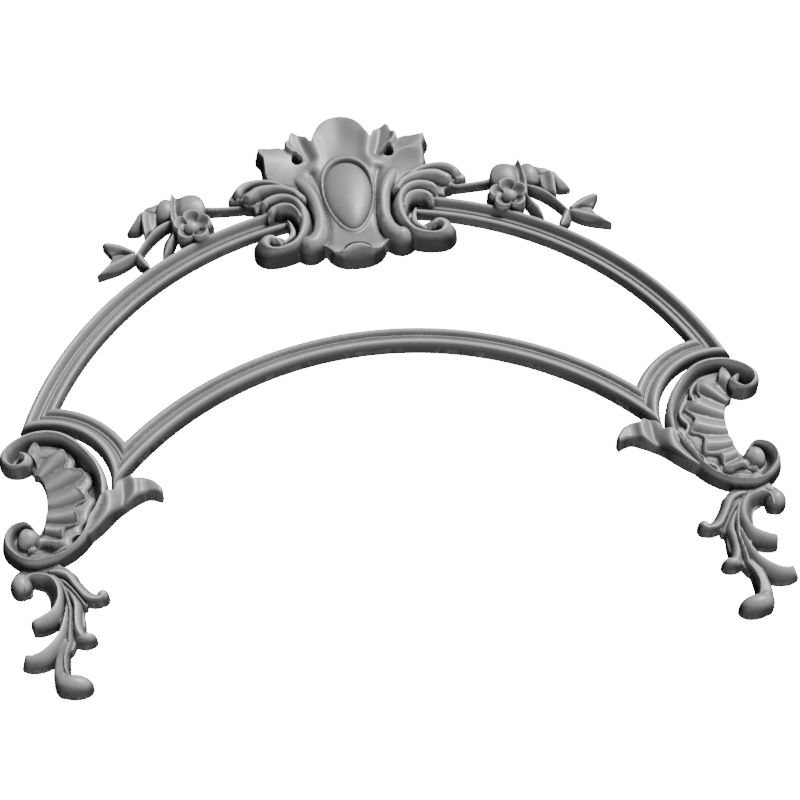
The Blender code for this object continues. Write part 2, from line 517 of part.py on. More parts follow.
def carve_side_scroll(relief):
    """Three rounded fingers that gather into one tube, which curls into a volute."""
    relief.leaf([(194, 764), (206, 764), (213, 770), (206, 785), (195, 797), (178, 807), (162, 810),
                 (144, 807), (126, 799), (104, 785), (82, 757), (72, 722), (70, 690), (77, 657),
                 (97, 636), (108, 640), (100, 660), (92, 690), (98, 712), (110, 722), (128, 724),
                 (140, 713), (150, 722), (157, 732), (168, 732), (172, 745), (184, 749),
                 (188, 758)], level(24), 5, 10)
    # floor of the hollow behind the tube, and the thin fin that stands in it
    relief.leaf([(92, 740), (90, 700), (96, 678), (108, 660), (120, 668), (115, 682), (115, 699), (126, 712),
                 (138, 716), (136, 730), (120, 740)], level(10), 2, 1)
    relief.stroke([(114, 706, 28, 1, 1.5), (110, 698, 30, 2.5, 2.5), (108, 688, 31, 4, 4),
                   (107, 677, 32, 5, 5), (112, 665, 33, 5, 5), (119, 658, 33, 3.5, 3.5),
                   (124, 653, 33, 2.5, 2.5)],
                  "full", "full", (24, 24))
    # outermost finger
    relief.stroke([(197, 769, 27, 4, 6), (196, 773, 34, 7, 12), (195, 777, 36.5, 8, 15),
                   (190, 787, 37, 9, 14), (179, 795, 37, 9, 14), (163, 798, 37, 7, 14),
                   (146, 796, 37.5, 6, 13), (132, 791, 38, 6, 12), (117, 782, 39, 6, 11),
                   (103, 769, 40, 6, 10), (92, 752, 41, 6, 9)],
                  "round", "dome", (28, 9))
    # middle finger
    relief.stroke([(181, 755, 27, 5, 5), (178, 759, 38, 9, 10), (175, 763, 40.5, 11, 11),
                   (170, 767, 41, 12, 11), (160, 774, 41.5, 13, 11), (146, 777, 42, 13, 10),
                   (133, 777, 42, 12, 9), (115, 772, 43, 12, 9), (98, 761, 44, 11, 10),
                   (87, 745, 45, 10, 11)], "dome", "round", (26, 28))
    # inner finger, which becomes the tube and the coil
    relief.stroke([(154, 733, 28, 5, 6), (152, 738, 40, 8, 12), (149, 743, 43, 9, 15),
                   (142, 748, 44, 11, 15), (132, 752, 44.5, 12, 13),
                   (120, 753, 45, 12, 12), (109, 750, 45.5, 12, 12), (99, 743, 46, 11, 13),
                   (91, 731, 46.5, 10, 15), (86, 716, 47, 9, 17), (84.5, 700, 47, 10, 16),
                   (84.5, 688, 47, 10, 15), (88, 673, 47, 9, 15), (95, 655, 47, 9, 15),
                   (104, 643, 47, 9, 13), (113, 637, 47, 9, 11), (124, 632, 47.5, 9, 9),
                   (137, 629, 48, 9, 8), (148, 632, 48, 8, 12), (155, 639, 48, 8, 18),
                   (157, 647, 48, 8, 22), (154, 654, 47, 7, 24), (147, 657.5, 45.5, 5, 25),
                   (141, 655, 44, 4, 20)],
                  "round", "dome", (22, 5))
    # last flute under the inner finger
    relief.stroke([(145, 715, 28, 2, 2), (141, 722, 38, 5, 5), (134, 730, 41, 7, 6),
                   (124, 733, 43, 9, 7), (113, 732, 44, 9, 7), (103, 726, 45, 8, 7),
                   (96, 714, 45.5, 5, 6), (92, 700, 46, 4, 5)],
                  "dome", "soft", (34, 36))
    relief.dome(*VOLUTE, 33, 31, 18, 12)


EYE = [(92, 844), (91, 854), (86, 861), (79, 855), (73, 847), (74, 841), (82, 837), (89, 838)]
EYE_FLOOR = 8.0
SLIT_SIDE = [
    (0, 637), (9, 635.5), (17, 630.5), (24, 622), (27, 613.5), (20, 621.5), (13, 626.5), (6, 629),
    (0, 629.5),
]


def carve(x, z):
    """The whole carving at the given points of the drawing."""
    relief = Carving(x, z)
    for carve_part in (carve_frame, carve_drop, carve_rocaille, carve_spray, carve_cartouche):
        carve_part(relief)
    eye = within(relief.x, relief.z, outline_path(EYE))
    relief.height = np.where(eye, EYE_FLOOR, np.maximum(relief.height, THINNEST))
    relief.cut(SLIT_SIDE + [(-x, z) for x, z in SLIT_SIDE[-2:0:-1]], corners=(4, 12))
    return relief


def settle_on_outline(x, z, on_axis, step):
    """Moves points on to the outline, where inside is 0, along its slope."""
    reach = 0.2
    for _ in range(3):
        count = len(x)
        probe = carve(np.concatenate([x, x + reach, x]), np.concatenate([z, z, z + reach])).inside
        here, slope_x, slope_z = probe[:count], probe[count:2 * count], probe[2 * count:]
        slope_x = np.where(on_axis, 0, (slope_x - here) / reach)
        slope_z = (slope_z - here) / reach
        move = np.clip(here / np.maximum(slope_x**2 + slope_z**2, 0.09), -step, step)
        x, z = x - move * slope_x, z - move * slope_z
    return x, z


def carved_half(step):
    """The half x >= 0 as a bmesh in millimetres, open at x = 0."""
    columns, rows = int(HALF_WIDTH / step) + 1, int((SHEET_TOP - SHEET_BOTTOM) / step) + 1
    grid_x, grid_z = np.meshgrid(
        np.arange(columns + 1) * step, SHEET_BOTTOM + np.arange(rows + 1) * step, indexing="ij")
    core = carve(grid_x.ravel(), grid_z.ravel()).inside.reshape(grid_x.shape) > 0.3 * step
    keep = core[:-1, :-1] | core[1:, :-1] | core[:-1, 1:] | core[1:, 1:]
    # no two kept cells meet at a corner alone
    for _ in range(6):
        a, b, c, d = keep[:-1, :-1], keep[1:, 1:], keep[1:, :-1], keep[:-1, 1:]
        rising, falling = a & b & ~c & ~d, c & d & ~a & ~b
        keep[1:, :-1] |= rising
        keep[:-1, :-1] |= falling

    mesh = bmesh.new()
    bmesh.ops.create_grid(mesh, x_segments=columns, y_segments=rows, size=1.0)

    def cell(vert):
        return round((vert.co.x + 1) / 2 * columns), round((vert.co.y + 1) / 2 * rows)

    unused = []
    for face in mesh.faces:
        corners = [cell(vert) for vert in face.verts]
        if not keep[min(i for i, _ in corners), min(j for _, j in corners)]:
            unused.append(face)
    bmesh.ops.delete(mesh, geom=unused, context="FACES")
    bmesh.ops.delete(mesh, geom=[vert for vert in mesh.verts if not vert.link_faces], context="VERTS")
    mesh.verts.index_update()
    places = np.array([cell(vert) for vert in mesh.verts])
    x, z = places[:, 0] * step, places[:, 1] * step + SHEET_BOTTOM

    # the ragged edge is drawn on to the outline and evened out along it
    beside = {}
    for edge in mesh.edges:
        ends = [vert.index for vert in edge.verts]
        if edge.is_boundary and x[ends].max() > 0:
            beside.setdefault(ends[0], []).append(ends[1])
            beside.setdefault(ends[1], []).append(ends[0])
    rim = np.array(sorted(beside))
    order = {vert: k for k, vert in enumerate(rim)}
    first = np.array([order[beside[vert][0]] for vert in rim])
    last = np.array([order[beside[vert][-1]] for vert in rim])
    on_axis = x[rim] == 0
    rim_x, rim_z = settle_on_outline(x[rim], z[rim], on_axis, step)
    for _ in range(3):
        even_x = 0.5 * rim_x + 0.25 * (rim_x[first] + rim_x[last])
        even_z = 0.5 * rim_z + 0.25 * (rim_z[first] + rim_z[last])
        rim_x, rim_z = settle_on_outline(
            np.where(on_axis, 0, even_x), np.where(on_axis, rim_z, even_z), on_axis, step)
    x[rim], z[rim] = rim_x, rim_z
    for vert in mesh.verts:
        vert.co = (x[vert.index], 0, z[vert.index])

    raised = bmesh.ops.extrude_face_region(mesh, geom=mesh.faces[:], use_keep_orig=True)["geom"]
    face_verts = [item for item in raised if isinstance(item, bmesh.types.BMVert)]
    places = np.array([vert.co[:] for vert in face_verts])
    for vert, height in zip(face_verts, carve(places[:, 0], places[:, 2]).height):
        vert.co.y = -height
    seam = [face for face in mesh.faces if all(abs(vert.co.x) < 1e-6 for vert in face.verts)]
    bmesh.ops.delete(mesh, geom=seam, context="FACES")
    bmesh.ops.recalc_face_normals(mesh, faces=mesh.faces)
    return mesh


def grey_primer():
    material = bpy.data.materials.new("satin grey primer")
    material.use_nodes = True
    shader = material.node_tree.nodes["Principled BSDF"]
    shader.inputs["Base Color"].default_value = (0.3, 0.3, 0.3, 1)
    shader.inputs["Roughness"].default_value = 0.5
    shader.inputs["Metallic"].default_value = 0.0
    return material


def main():
    for old in list(bpy.data.objects):
        bpy.data.objects.remove(old)
    collection = bpy.data.collections.new("carved crest onlay")
    bpy.context.scene.collection.children.link(collection)

    half = carved_half(GRID)
    bmesh.ops.transform(
        half, matrix=Matrix.Scale(0.001, 4) @ Matrix.Translation((0, 0, -MOUNT_HEIGHT)), verts=half.verts)
    mesh = bpy.data.meshes.new("carved_crest")
    half.to_mesh(mesh)
    half.free()
    crest = bpy.data.objects.new("carved_crest", mesh)
    collection.objects.link(crest)
    mesh.materials.append(grey_primer())

    mirror = crest.modifiers.new("Both halves", "MIRROR")
    mirror.merge_threshold = 0.00005
    bpy.context.view_layer.update()
    evaluated = crest.evaluated_get(bpy.context.evaluated_depsgraph_get())
    full = sum(len(face.vertices) - 2 for face in evaluated.data.polygons)
    fewer = crest.modifiers.new("Facets", "DECIMATE")
    fewer.ratio = TRIANGLES / full
    fewer.use_symmetry = True


main()
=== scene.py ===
"""Carved crest onlay: the fine carving, its primer finish, and a studio to see it in."""

import math

import bmesh
import bpy
import numpy as np
from bpy.props import FloatProperty, IntProperty, PointerProperty
from bpy.types import Operator, Panel, PropertyGroup
from mathutils import Matrix, Vector


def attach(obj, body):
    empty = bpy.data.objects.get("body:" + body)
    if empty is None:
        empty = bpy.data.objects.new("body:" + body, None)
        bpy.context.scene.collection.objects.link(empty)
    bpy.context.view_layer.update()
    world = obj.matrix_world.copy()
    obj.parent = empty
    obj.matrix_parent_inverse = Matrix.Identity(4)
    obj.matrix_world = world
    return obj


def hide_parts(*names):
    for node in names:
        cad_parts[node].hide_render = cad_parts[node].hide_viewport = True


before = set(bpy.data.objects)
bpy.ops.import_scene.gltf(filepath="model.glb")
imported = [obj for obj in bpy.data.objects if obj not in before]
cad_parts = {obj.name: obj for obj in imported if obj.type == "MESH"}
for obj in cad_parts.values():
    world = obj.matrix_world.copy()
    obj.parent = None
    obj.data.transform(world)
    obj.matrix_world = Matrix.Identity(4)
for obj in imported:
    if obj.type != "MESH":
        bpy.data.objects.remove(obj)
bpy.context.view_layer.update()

bl_info = {
    "name": "Carved crest onlay",
    "version": (1, 0, 0),
    "blender": (4, 5, 0),
    "location": "3D View > Sidebar > Crest",
    "description": "Carves an arched crest in fine relief and sets up a studio for it",
    "category": "Add Mesh",
}

# Driving dimensions, in millimetres on the drawing
HALF_WIDTH = 630.0
SHEET_TOP = 950.0
SHEET_BOTTOM = -180.0
MOUNT_HEIGHT = 760.0
THINNEST = 4.0

# The four arcs that bound the crescent opening, and the moulding that runs round it
UPPER_CENTRE, UPPER_RADIUS = 135.0, 576.0
LOWER_CENTRE, LOWER_RADIUS = -145.0, 601.0
END_X, END_Z, END_RADIUS = 564.0, 208.0, 158.5
RAIL_WIDTH = 44.0
# The upper rail stops this far from the middle, where it is this high and within this reach of the arc
RAIL_STOP, RAIL_STOP_FROM, RAIL_STOP_REACH = 116.0, 500.0, 60.0
RAIL_FOOT = 190.0
RAIL_SECTION = [
    (0, 12), (1.2, 15), (4, 18), (7, 19), (10.5, 18), (13.5, 14.5), (15.5, 12.5), (16.6, 14.6), (18.6, 15.6),
    (20.4, 14), (22, 13.4), (25, 15), (28, 19), (31, 23.2), (34.5, 25), (38, 23.6), (41, 19.5), (43, 15.5),
    (44, 12),
]

# How an edge falls on to what lies under it
FALL = 9.0
FALL_REACH = 4.0

# Sections across a stroke: 1 on its crest, 0 at its edge
SECTIONS = {
    "round": lambda u: np.sqrt(np.maximum(0, 1 - u * u)),
    "soft": lambda u: 0.5 + 0.5 * np.cos(np.pi * u),
    "dome": lambda u: 1 - u * u,
    "swoop": lambda u: 0.5 + 0.5 * np.cos(np.pi * u**0.62),
    "full": lambda u: np.sqrt(np.maximum(0, 1 - u**4)),
    "bevel": lambda u: 1 - u,
}

# Most cells worked on at a time when places are matched with a path
BATCH = 4000000
# The last points of a stroke with a square end, and how far its end is rounded off
END_POINTS, END_ROUNDING = 14, 7.0
# How many cells the surroundings of a place reach, and the millimetres that count as fully high or low, for
# the painted shade in the hollows and the painted highlight on the crests
BLUR_CELLS = 4
PAINTED_SHADE_RANGE = 5.0
# Strength of the white behind the crest
SURROUND_SEEN = 20.0

# The place of the camera in metres, and the directions of the camera and of the lights
CAMERA_PLACE = (-0.2364, -2.775, -2.441)
CAMERA_BACK = (-0.0784, -0.8094, -0.5820)
CAMERA_UP = (0.1081, -0.5873, 0.8022)
CAMERA_RIGHT = (0.9911, 0.0, -0.1335)
KEY_DIRECTION = (0.45, -0.75, 0.48)
LOWER_DIRECTION = (0.25, -0.75, -0.6)


def smooth_path(rows, closed=False, spacing=1.6):
    """Points along a smooth curve through the rows; every column is carried along."""
    rows = np.asarray(rows, float)
    if closed:
        rows = np.vstack([rows[-1:], rows, rows[:2]])
    else:
        rows = np.vstack([2 * rows[0] - rows[1], rows, 2 * rows[-1] - rows[-2]])
    pieces = []
    for before, start, end, after in zip(rows, rows[1:], rows[2:], rows[3:]):
        length = max(math.dist(start[:2], end[:2]), 1e-6)
        lead = max(math.dist(before[:2], start[:2]), 1e-6)
        tail = max(math.dist(end[:2], after[:2]), 1e-6)
        leave = ((end - start) * lead + (start - before) * length**2 / lead) / (lead + length)
        arrive = ((after - end) * length**2 / tail + (end - start) * tail) / (length + tail)
        count = max(2, math.ceil(length / spacing))
        t = (np.arange(count) / count)[:, None]
        pieces.append(
            (2 * t**3 - 3 * t**2 + 1) * start + (t**3 - 2 * t**2 + t) * leave
            + (3 * t**2 - 2 * t**3) * end + (t**3 - t**2) * arrive
        )
    if not closed:
        pieces.append(rows[-2][None])
    return np.vstack(pieces)


def outline_path(points, corners=()):
    """A closed outline, smooth but for the points whose places are listed in corners."""
    points = [tuple(point) for point in points]
    if not corners:
        return smooth_path(points, closed=True)
    pieces = []
    for start, end in zip(corners, list(corners[1:]) + [corners[0] + len(points)]):
        run = [points[k % len(points)] for k in range(start, end + 1)]
        pieces.append(smooth_path(run)[:-1])
    return np.vstack(pieces)


def nearest(x, z, path):
    """For each point: its place along the path, its side (left is positive) and its distance."""
    start, step = path[:-1, :2], np.diff(path[:, :2], axis=0)
    length = (step**2).sum(axis=1) + 1e-12
    place, side, distance = np.zeros(len(x)), np.zeros(len(x)), np.zeros(len(x))
    batch = max(1, BATCH // len(start))
    for k in range(0, len(x), batch):
        dx = x[k:k + batch, None] - start[None, :, 0]
        dz = z[k:k + batch, None] - start[None, :, 1]
        t = np.clip((dx * step[:, 0] + dz * step[:, 1]) / length, 0, 1)
        dx = dx - t * step[:, 0]
        dz = dz - t * step[:, 1]
        gap = dx * dx + dz * dz
        best = gap.argmin(axis=1)
        row = np.arange(len(best))
        place[k:k + batch] = best + t[row, best]
        side[k:k + batch] = step[best, 0] * dz[row, best] - step[best, 1] * dx[row, best]
        distance[k:k + batch] = np.sqrt(gap[row, best])
    return place, side, distance


def within(x, z, loop):
    """True for the points inside a closed loop."""
    after = np.roll(loop, -1, axis=0)
    found = np.zeros(len(x), bool)
    batch = max(1, BATCH // len(loop))
    rise = np.where(after[:, 1] == loop[:, 1], 1e-9, after[:, 1] - loop[:, 1])
    for k in range(0, len(x), batch):
        px, pz = x[k:k + batch, None], z[k:k + batch, None]
        spans = (loop[:, 1] > pz) != (after[:, 1] > pz)
        crossing = loop[:, 0] + (pz - loop[:, 1]) * (after[:, 0] - loop[:, 0]) / rise
        found[k:k + batch] = (spans & (px < crossing)).sum(axis=1) % 2 == 1
    return found


def crease(x, z, points, width):
    """1 on a line through the points, fading to 0 away from it: for ridges and furrows on a leaf."""
    distance = nearest(x, z, smooth_path(points))[2]
    return np.exp(-((distance / width) ** 2))


class Carving:
    """Heights over the flat back at the given points, and how far inside the outline each point lies."""

    def __init__(self, x, z):
        self.x = np.abs(x)
        self.z = np.asarray(z, float)
        self.inside = np.full(len(self.x), -1000.0)
        self.height = np.zeros(len(self.x))

    def around(self, points, reach):
        low, high = points[:, :2].min(axis=0) - reach, points[:, :2].max(axis=0) + reach
        across = (self.x > low[0]) & (self.x < high[0])
        return np.nonzero(across & (self.z > low[1]) & (self.z < high[1]))[0]

    def raise_to(self, where, inside, height):
        """The highest form wins, and past its own edge a form falls away steeply."""
        self.inside[where] = np.maximum(self.inside[where], inside)
        height = height - np.maximum(0, -inside) * FALL
        near = inside > -FALL_REACH
        self.height[where[near]] = np.maximum(self.height[where[near]], height[near])

    def stroke(self, rows, left="round", right="round", rims=(8, 8), square=False):
        """A scroll or frond. A row is x, z, crest height, width to the left and width to the right."""
        path = smooth_path(rows)
        where = self.around(path, np.abs(path[:, 3:5]).max() + FALL_REACH)
        place, side, distance = nearest(self.x[where], self.z[where], path)
        k = np.minimum(place.astype(int), len(path) - 2)
        t = (place - k)[:, None]
        row = path[k] * (1 - t) + path[k + 1] * t
        on_left = side >= 0
        width = np.maximum(np.where(on_left, row[:, 3], row[:, 4]), 0.3)
        rim = np.minimum(np.where(on_left, rims[0], rims[1]), row[:, 2])
        u = np.clip(distance / width, 0, 1)
        shape = np.where(on_left, SECTIONS[left](u), SECTIONS[right](u))
        inside = width - distance
        if square:
            end = path[-1] - path[-2]
            end = end / math.hypot(end[0], end[1])
            past = (self.x[where] - path[-1, 0]) * end[0] + (self.z[where] - path[-1, 1]) * end[1]
            near_end = place > len(path) - END_POINTS
            inside = np.where(near_end, np.minimum(inside, -past), inside)
            rounding = SECTIONS["round"](np.clip(1 + past / END_ROUNDING, 0, 1))
            shape = np.where(near_end, shape * rounding, shape)
        self.raise_to(where, inside, rim + (row[:, 2] - rim) * shape)

    def dome(self, x, z, half_x, half_z, top, rim, turn=0.0):
        """A round or oval boss."""
        where = self.around(np.array([[x, z]]), max(half_x, half_z) + FALL_REACH)
        cos, sin = math.cos(math.radians(turn)), math.sin(math.radians(turn))
        dx, dz = self.x[where] - x, self.z[where] - z
        a, b = (dx * cos + dz * sin) / half_x, (dz * cos - dx * sin) / half_z
        u = np.hypot(a, b)
        slope = np.hypot(a / half_x, b / half_z) + 1e-9
        inside = np.where(u < 0.001, min(half_x, half_z), (1 - u) * u / slope)
        self.raise_to(where, inside, rim + (top - rim) * SECTIONS["round"](np.clip(u, 0, 1)))

    def leaf(self, points, surface, edge, drop, corners=()):
        """A sheet inside an outline: its surface is a function, and it rounds off by drop over edge."""
        loop = outline_path(points, corners)
        where = self.around(loop, FALL_REACH)
        x, z = self.x[where], self.z[where]
        distance = nearest(x, z, np.vstack([loop, loop[:1]]))[2]
        inside = np.where(within(x, z, loop), distance, -distance)
        rounding = 1 - SECTIONS["round"](np.clip(1 - np.maximum(inside, 0) / edge, 0, 1))
        self.raise_to(where, inside, surface(x, z, np.maximum(inside, 0)) - drop * rounding)

    def cut(self, points, corners=()):
        """An opening right through."""
        loop = outline_path(points, corners)
        where = self.around(loop, FALL_REACH)
        x, z = self.x[where], self.z[where]
        distance = nearest(x, z, np.vstack([loop, loop[:1]]))[2]
        outside = np.where(within(x, z, loop), -distance, distance)
        self.inside[where] = np.minimum(self.inside[where], outside)


def level(height):
    return lambda x, z, inside: height + 0 * x


def carve_frame(relief):
    """The moulding runs round the opening, so its distance from the opening gives true mitres."""
    x, z = relief.x, relief.z
    upper = np.hypot(x, z - UPPER_CENTRE) - UPPER_RADIUS
    lower = LOWER_RADIUS - np.hypot(x, z - LOWER_CENTRE)
    end = END_RADIUS - np.hypot(x - END_X, z - END_Z)
    across = np.maximum(np.maximum(upper, lower), end)
    inside = np.minimum(np.minimum(across, RAIL_WIDTH - across), z - RAIL_FOOT)
    under_scroll = (upper > lower) & (upper > -RAIL_STOP_REACH) & (z > RAIL_STOP_FROM)
    inside = np.where(under_scroll, np.minimum(inside, x - RAIL_STOP), inside)
    where = np.nonzero(inside > -FALL_REACH)[0]
    relief.raise_to(where, inside[where], np.interp(across, *zip(*RAIL_SECTION))[where])


def carve_drop(relief):
    """Leafy drop under a rocaille: five curled fronds off one spine, and a stem with an end comma."""
    # the saddle that joins the drop to the scroll above
    relief.leaf([
        (598, 72), (598, 59), (607, 50), (612, 40), (600, 34), (570, 44), (545, 44), (520, 46), (526, 53),
        (534, 58), (536, 72),
    ], level(17), 4, 4)
    relief.stroke([(587, 59, 17, 2, 3), (567, 60, 20, 3, 4), (546, 62, 17, 2, 3)], "soft", "soft", (15, 15))
    # arch from the outer knob over to the upper outer frond
    relief.stroke([
        (590, 20, 27, 9, 8), (590, 28, 28.5, 10, 8), (588, 35, 29, 11, 8), (581, 40, 29, 12, 8),
        (566, 39, 29, 15, 8), (552, 33, 29, 17, 9), (543, 19, 29, 17, 11), (540, 2, 29.5, 16, 13),
        (543, -13, 30, 13, 15), (550, -25, 30, 8, 22), (564, -35, 30, 4, 22), (578, -41, 29, 3, 18),
        (585, -43, 28, 3, 14),
    ], "swoop", "dome", (7, 9), square=True)
    relief.dome(598, 30, 17.5, 20.5, 30, 8)
    # lower outer frond
    relief.stroke([
        (529, -16, 24, 3, 5), (530, -29, 28, 3, 7), (532, -40, 29, 3.5, 9), (536, -55, 30, 4, 13),
        (544, -73, 30, 3.5, 18), (559, -90, 30, 3, 24), (574, -100, 30, 3, 21), (586, -102, 29, 3, 18),
        (596, -99, 28, 3, 15),
    ], "soft", "dome", (11, 9), square=True)
    # spine
    relief.stroke([
        (548, 38, 20, 3, 3), (538, 26, 24, 4, 4), (531, 10, 27, 5, 4), (526, -11, 28, 5, 4),
        (523, -31, 28, 5, 4), (524, -48, 28, 5, 4), (526, -66, 27, 5, 5), (527, -80, 25, 5, 5),
    ], "soft", "soft", (19, 20))
    # upper inner frond with a second rib under it
    relief.stroke([
        (552, 46, 22, 3, 8), (542, 43, 25, 3, 12), (528, 35, 27, 3.5, 15), (517, 18, 28, 4, 14),
        (508, 3, 28, 4, 15), (499, -9, 28, 4, 17), (488, -15, 28, 3.5, 17), (477, -14, 27, 4, 14),
        (471, -8, 27, 5, 9),
    ], "soft", "dome", (18, 10))
    relief.dome(473.5, -6, 10.5, 11, 27, 10)
    relief.stroke([
        (550, 39, 21, 3, 4), (543, 31, 24, 4, 4), (534, 26, 25, 4, 5), (522, 12, 26, 4, 5),
        (510, -6, 25, 4, 5), (501, -20, 21, 4, 4),
    ], "soft", "soft", (17, 18))
    # lower inner frond
    relief.stroke([
        (530, 14, 24, 3, 4), (527, 9, 25, 3, 5), (520, -5, 27, 3, 9), (516, -19, 28.5, 3, 13),
        (516, -37, 28.5, 3.5, 13), (516, -53, 28.5, 4, 13), (513, -68, 28.5, 6, 14), (507, -77, 28, 8, 12),
        (500, -78, 28, 9, 8),
    ], "soft", "dome", (21, 10))
    relief.dome(502, -79, 17, 11, 29, 9)
    # ground that joins the fronds
    relief.leaf([
        (550, -18), (548, 6), (552, 22), (560, 34), (556, 52), (534, 50), (520, 36), (511, 8), (505, -20),
        (503, -62), (516, -84), (526, -100), (544, -100), (546, -72), (541, -54),
    ], level(17), 2, 2)
    # stem with its gouged end, and the end comma
    relief.stroke([
        (533, -82, 22, 8, 8), (537, -100, 23, 12, 10), (539, -118, 24, 13, 11), (541, -136, 24, 13, 13),
        (540, -146, 24, 12, 13),
    ], "full", "full", (10, 10))
    relief.stroke([
        (526, -83, 25, 3, 4), (532, -100, 28, 4, 5), (535, -115, 29, 4, 5), (534, -132, 28, 4, 5),
        (529, -145, 27, 4, 4),
    ], "soft", "soft", (21, 18))
    relief.dome(523.5, -155.5, 29.5, 17.5, 34, 9, turn=10)
    relief.dome(538, -148, 15.5, 21, 28, 9)


SHELL_EYE = (612.0, 182.0)
SHELL_FOLDS = [-90, -74, -57, -40, -18, 10, 37, 52, 80]
SHELL_FOLDS_AT_RIM = [-78, -60, -42, -26, -5, 15, 35, 57, 80]
SHELL_RIM = [
    (573, 232), (568, 241), (567, 251), (572, 261), (579, 270), (576, 278), (566, 285), (561, 280),
    (558, 268), (543, 263), (531, 263), (523, 265), (518, 259), (518, 248), (521, 237), (514, 231),
    (504, 225), (493, 224), (490, 218), (494, 211), (502, 200), (502, 192), (490, 172), (508, 160),
    (507, 146), (504, 135), (506, 128), (514, 125), (526, 121), (529, 114), (531, 94), (538, 90),
    (549, 93), (560, 95), (571, 88), (579, 86), (581, 92), (575, 97), (565, 103), (560, 112), (556, 143),
    (552, 180), (554, 200), (559, 218), (566, 228),
]
UNDER_RIM = [
    (580, 250), (562, 224), (553, 180), (557, 143), (568, 118), (583, 108), (585, 93), (580, 79), (564, 77),
    (556, 81), (546, 80), (530, 86), (518, 93), (517, 103), (511, 108), (502, 111), (500, 124), (489, 136),
    (486, 150), (477, 173), (486, 182), (489, 191), (483, 201), (480, 210), (483, 221), (492, 230),
    (504, 233), (508, 239), (506, 252), (510, 262), (518, 272), (530, 281), (545, 285), (560, 288),
    (572, 289), (578, 278),
]


def shell_surface(x, z, inside):
    """Folds fan out from the shell's eye, and each falls to the next with a rounded step."""
    angle = np.degrees(np.arctan2(z - SHELL_EYE[1], SHELL_EYE[0] - x))
    out = np.clip((np.hypot(x - SHELL_EYE[0], z - SHELL_EYE[1]) - 60) / 58, 0, 1)
    bounds = [near + (far - near) * out for near, far in zip(SHELL_FOLDS, SHELL_FOLDS_AT_RIM)]
    place = sum(np.clip((angle - low) / (high - low), 0, 1) for low, high in zip(bounds, bounds[1:]))
    wave = 0.5 - 0.5 * np.cos(2 * np.pi * (place % 1) ** 0.7)
    lip = 3 * np.exp(-((inside / 2.6) ** 2)) * np.clip(2 * out - 0.6, 0, 1)
    return 16 + 5 * out**1.5 + (5 + 8 * out) * wave + lip


def skirt_surface(x, z, inside):
    """Slope from the shell's rim down to a thin edge on the ground."""
    out = np.clip((np.hypot(x - SHELL_EYE[0], z - SHELL_EYE[1]) - 76) / 14, 0, 1)
    return 15 + out * (0.45 * np.clip(inside, 0, 8) + 3 * np.exp(-((inside / 2.2) ** 2)))


def carve_rocaille(relief):
    """C-scroll with a pleated shell in its hollow, two volutes and a leaf that reaches inwards."""
    relief.leaf([
        (463, 175), (466, 225), (480, 255), (500, 278), (540, 298), (585, 290), (585, 250), (578, 247),
        (562, 222), (553, 180), (557, 143), (566, 122), (600, 120), (600, 80), (560, 68), (520, 78),
        (495, 95), (478, 135),
    ], level(8), 2, 1)
    relief.leaf([
        (628, 268), (618, 285), (596, 298), (575, 300), (572, 250), (585, 243), (602, 242), (620, 250),
    ], level(11), 2, 2)
    relief.leaf(UNDER_RIM, skirt_surface, 1.5, 1.5)
    relief.leaf(SHELL_RIM, shell_surface, 1.5, 1.5)
    # great scroll, which winds into the upper volute
    relief.stroke([
        (467, 150, 30, 9, 8), (464, 175, 35, 9, 10), (464.5, 205, 37, 9, 11), (473, 232, 38, 9, 12),
        (488, 257, 38.5, 9, 12), (507, 279, 39, 9, 12), (528, 294, 39, 9, 11), (550, 300, 39, 9, 10),
        (574, 298, 39, 9, 12), (593, 291, 39, 8, 15), (608, 280, 38.5, 8, 16), (616, 267, 38, 9, 15),
        (615, 256, 38, 9, 13), (608, 247, 38, 7, 12), (600, 243, 38, 5, 11), (591, 244, 38, 6, 10),
        (584, 250, 38, 9, 8), (583, 257, 38, 11, 7), (586, 263, 37, 8, 6), (590, 267, 35, 6, 4),
    ], "round", "swoop", (20, 11))
    # lower band, from the leaf round to the lower volute
    relief.stroke([
        (467, 170, 33, 6, 9), (474, 150, 36, 6, 11), (484, 133, 37, 6, 13), (494, 107, 37, 6, 11),
        (515, 81, 37, 6, 8), (532, 70, 37, 6, 7), (549, 65, 37, 6, 7), (577, 63, 37, 12, 8),
        (593, 69, 37, 16, 8), (606, 81, 37, 16, 9), (614, 94, 37, 14, 10), (616, 108, 37, 13, 10),
        (614, 118, 37, 12, 9), (606, 128, 37, 11, 8), (596, 132, 37, 9, 8), (588, 133, 36.5, 8, 7),
        (580, 128, 36, 7, 6), (575, 122, 34, 5, 5),
    ], "swoop", "dome", (12, 6))
    relief.leaf([
        (534, 66), (560, 62), (592, 66), (612, 78), (622, 98), (620, 116), (605, 132), (585, 132),
        (566, 121), (575, 100), (570, 84), (545, 80), (500, 96), (480, 130), (468, 170), (458, 165),
        (462, 135), (476, 112), (504, 84),
    ], level(12), 3, 3)
    relief.leaf([
        (600, 112), (597, 99), (590, 93), (580, 93), (570, 98), (564, 106), (564, 114), (569, 123),
        (577, 133), (588, 135), (596, 126),
    ], bulge(584, 113, 33, 16, 22, 22), 9, 9)
    relief.leaf([
        (470, 172), (457, 180), (449, 184), (446, 195), (437, 206), (424, 211), (418, 209), (412, 201),
        (400, 204), (385, 197), (374, 184), (368, 173), (370, 162), (376, 165), (392, 170), (411, 162),
        (426, 153), (441, 142), (458, 125), (474, 110), (490, 100), (486, 125),
    ], inner_leaf_surface, 7, 10, corners=(1, 7, 12))


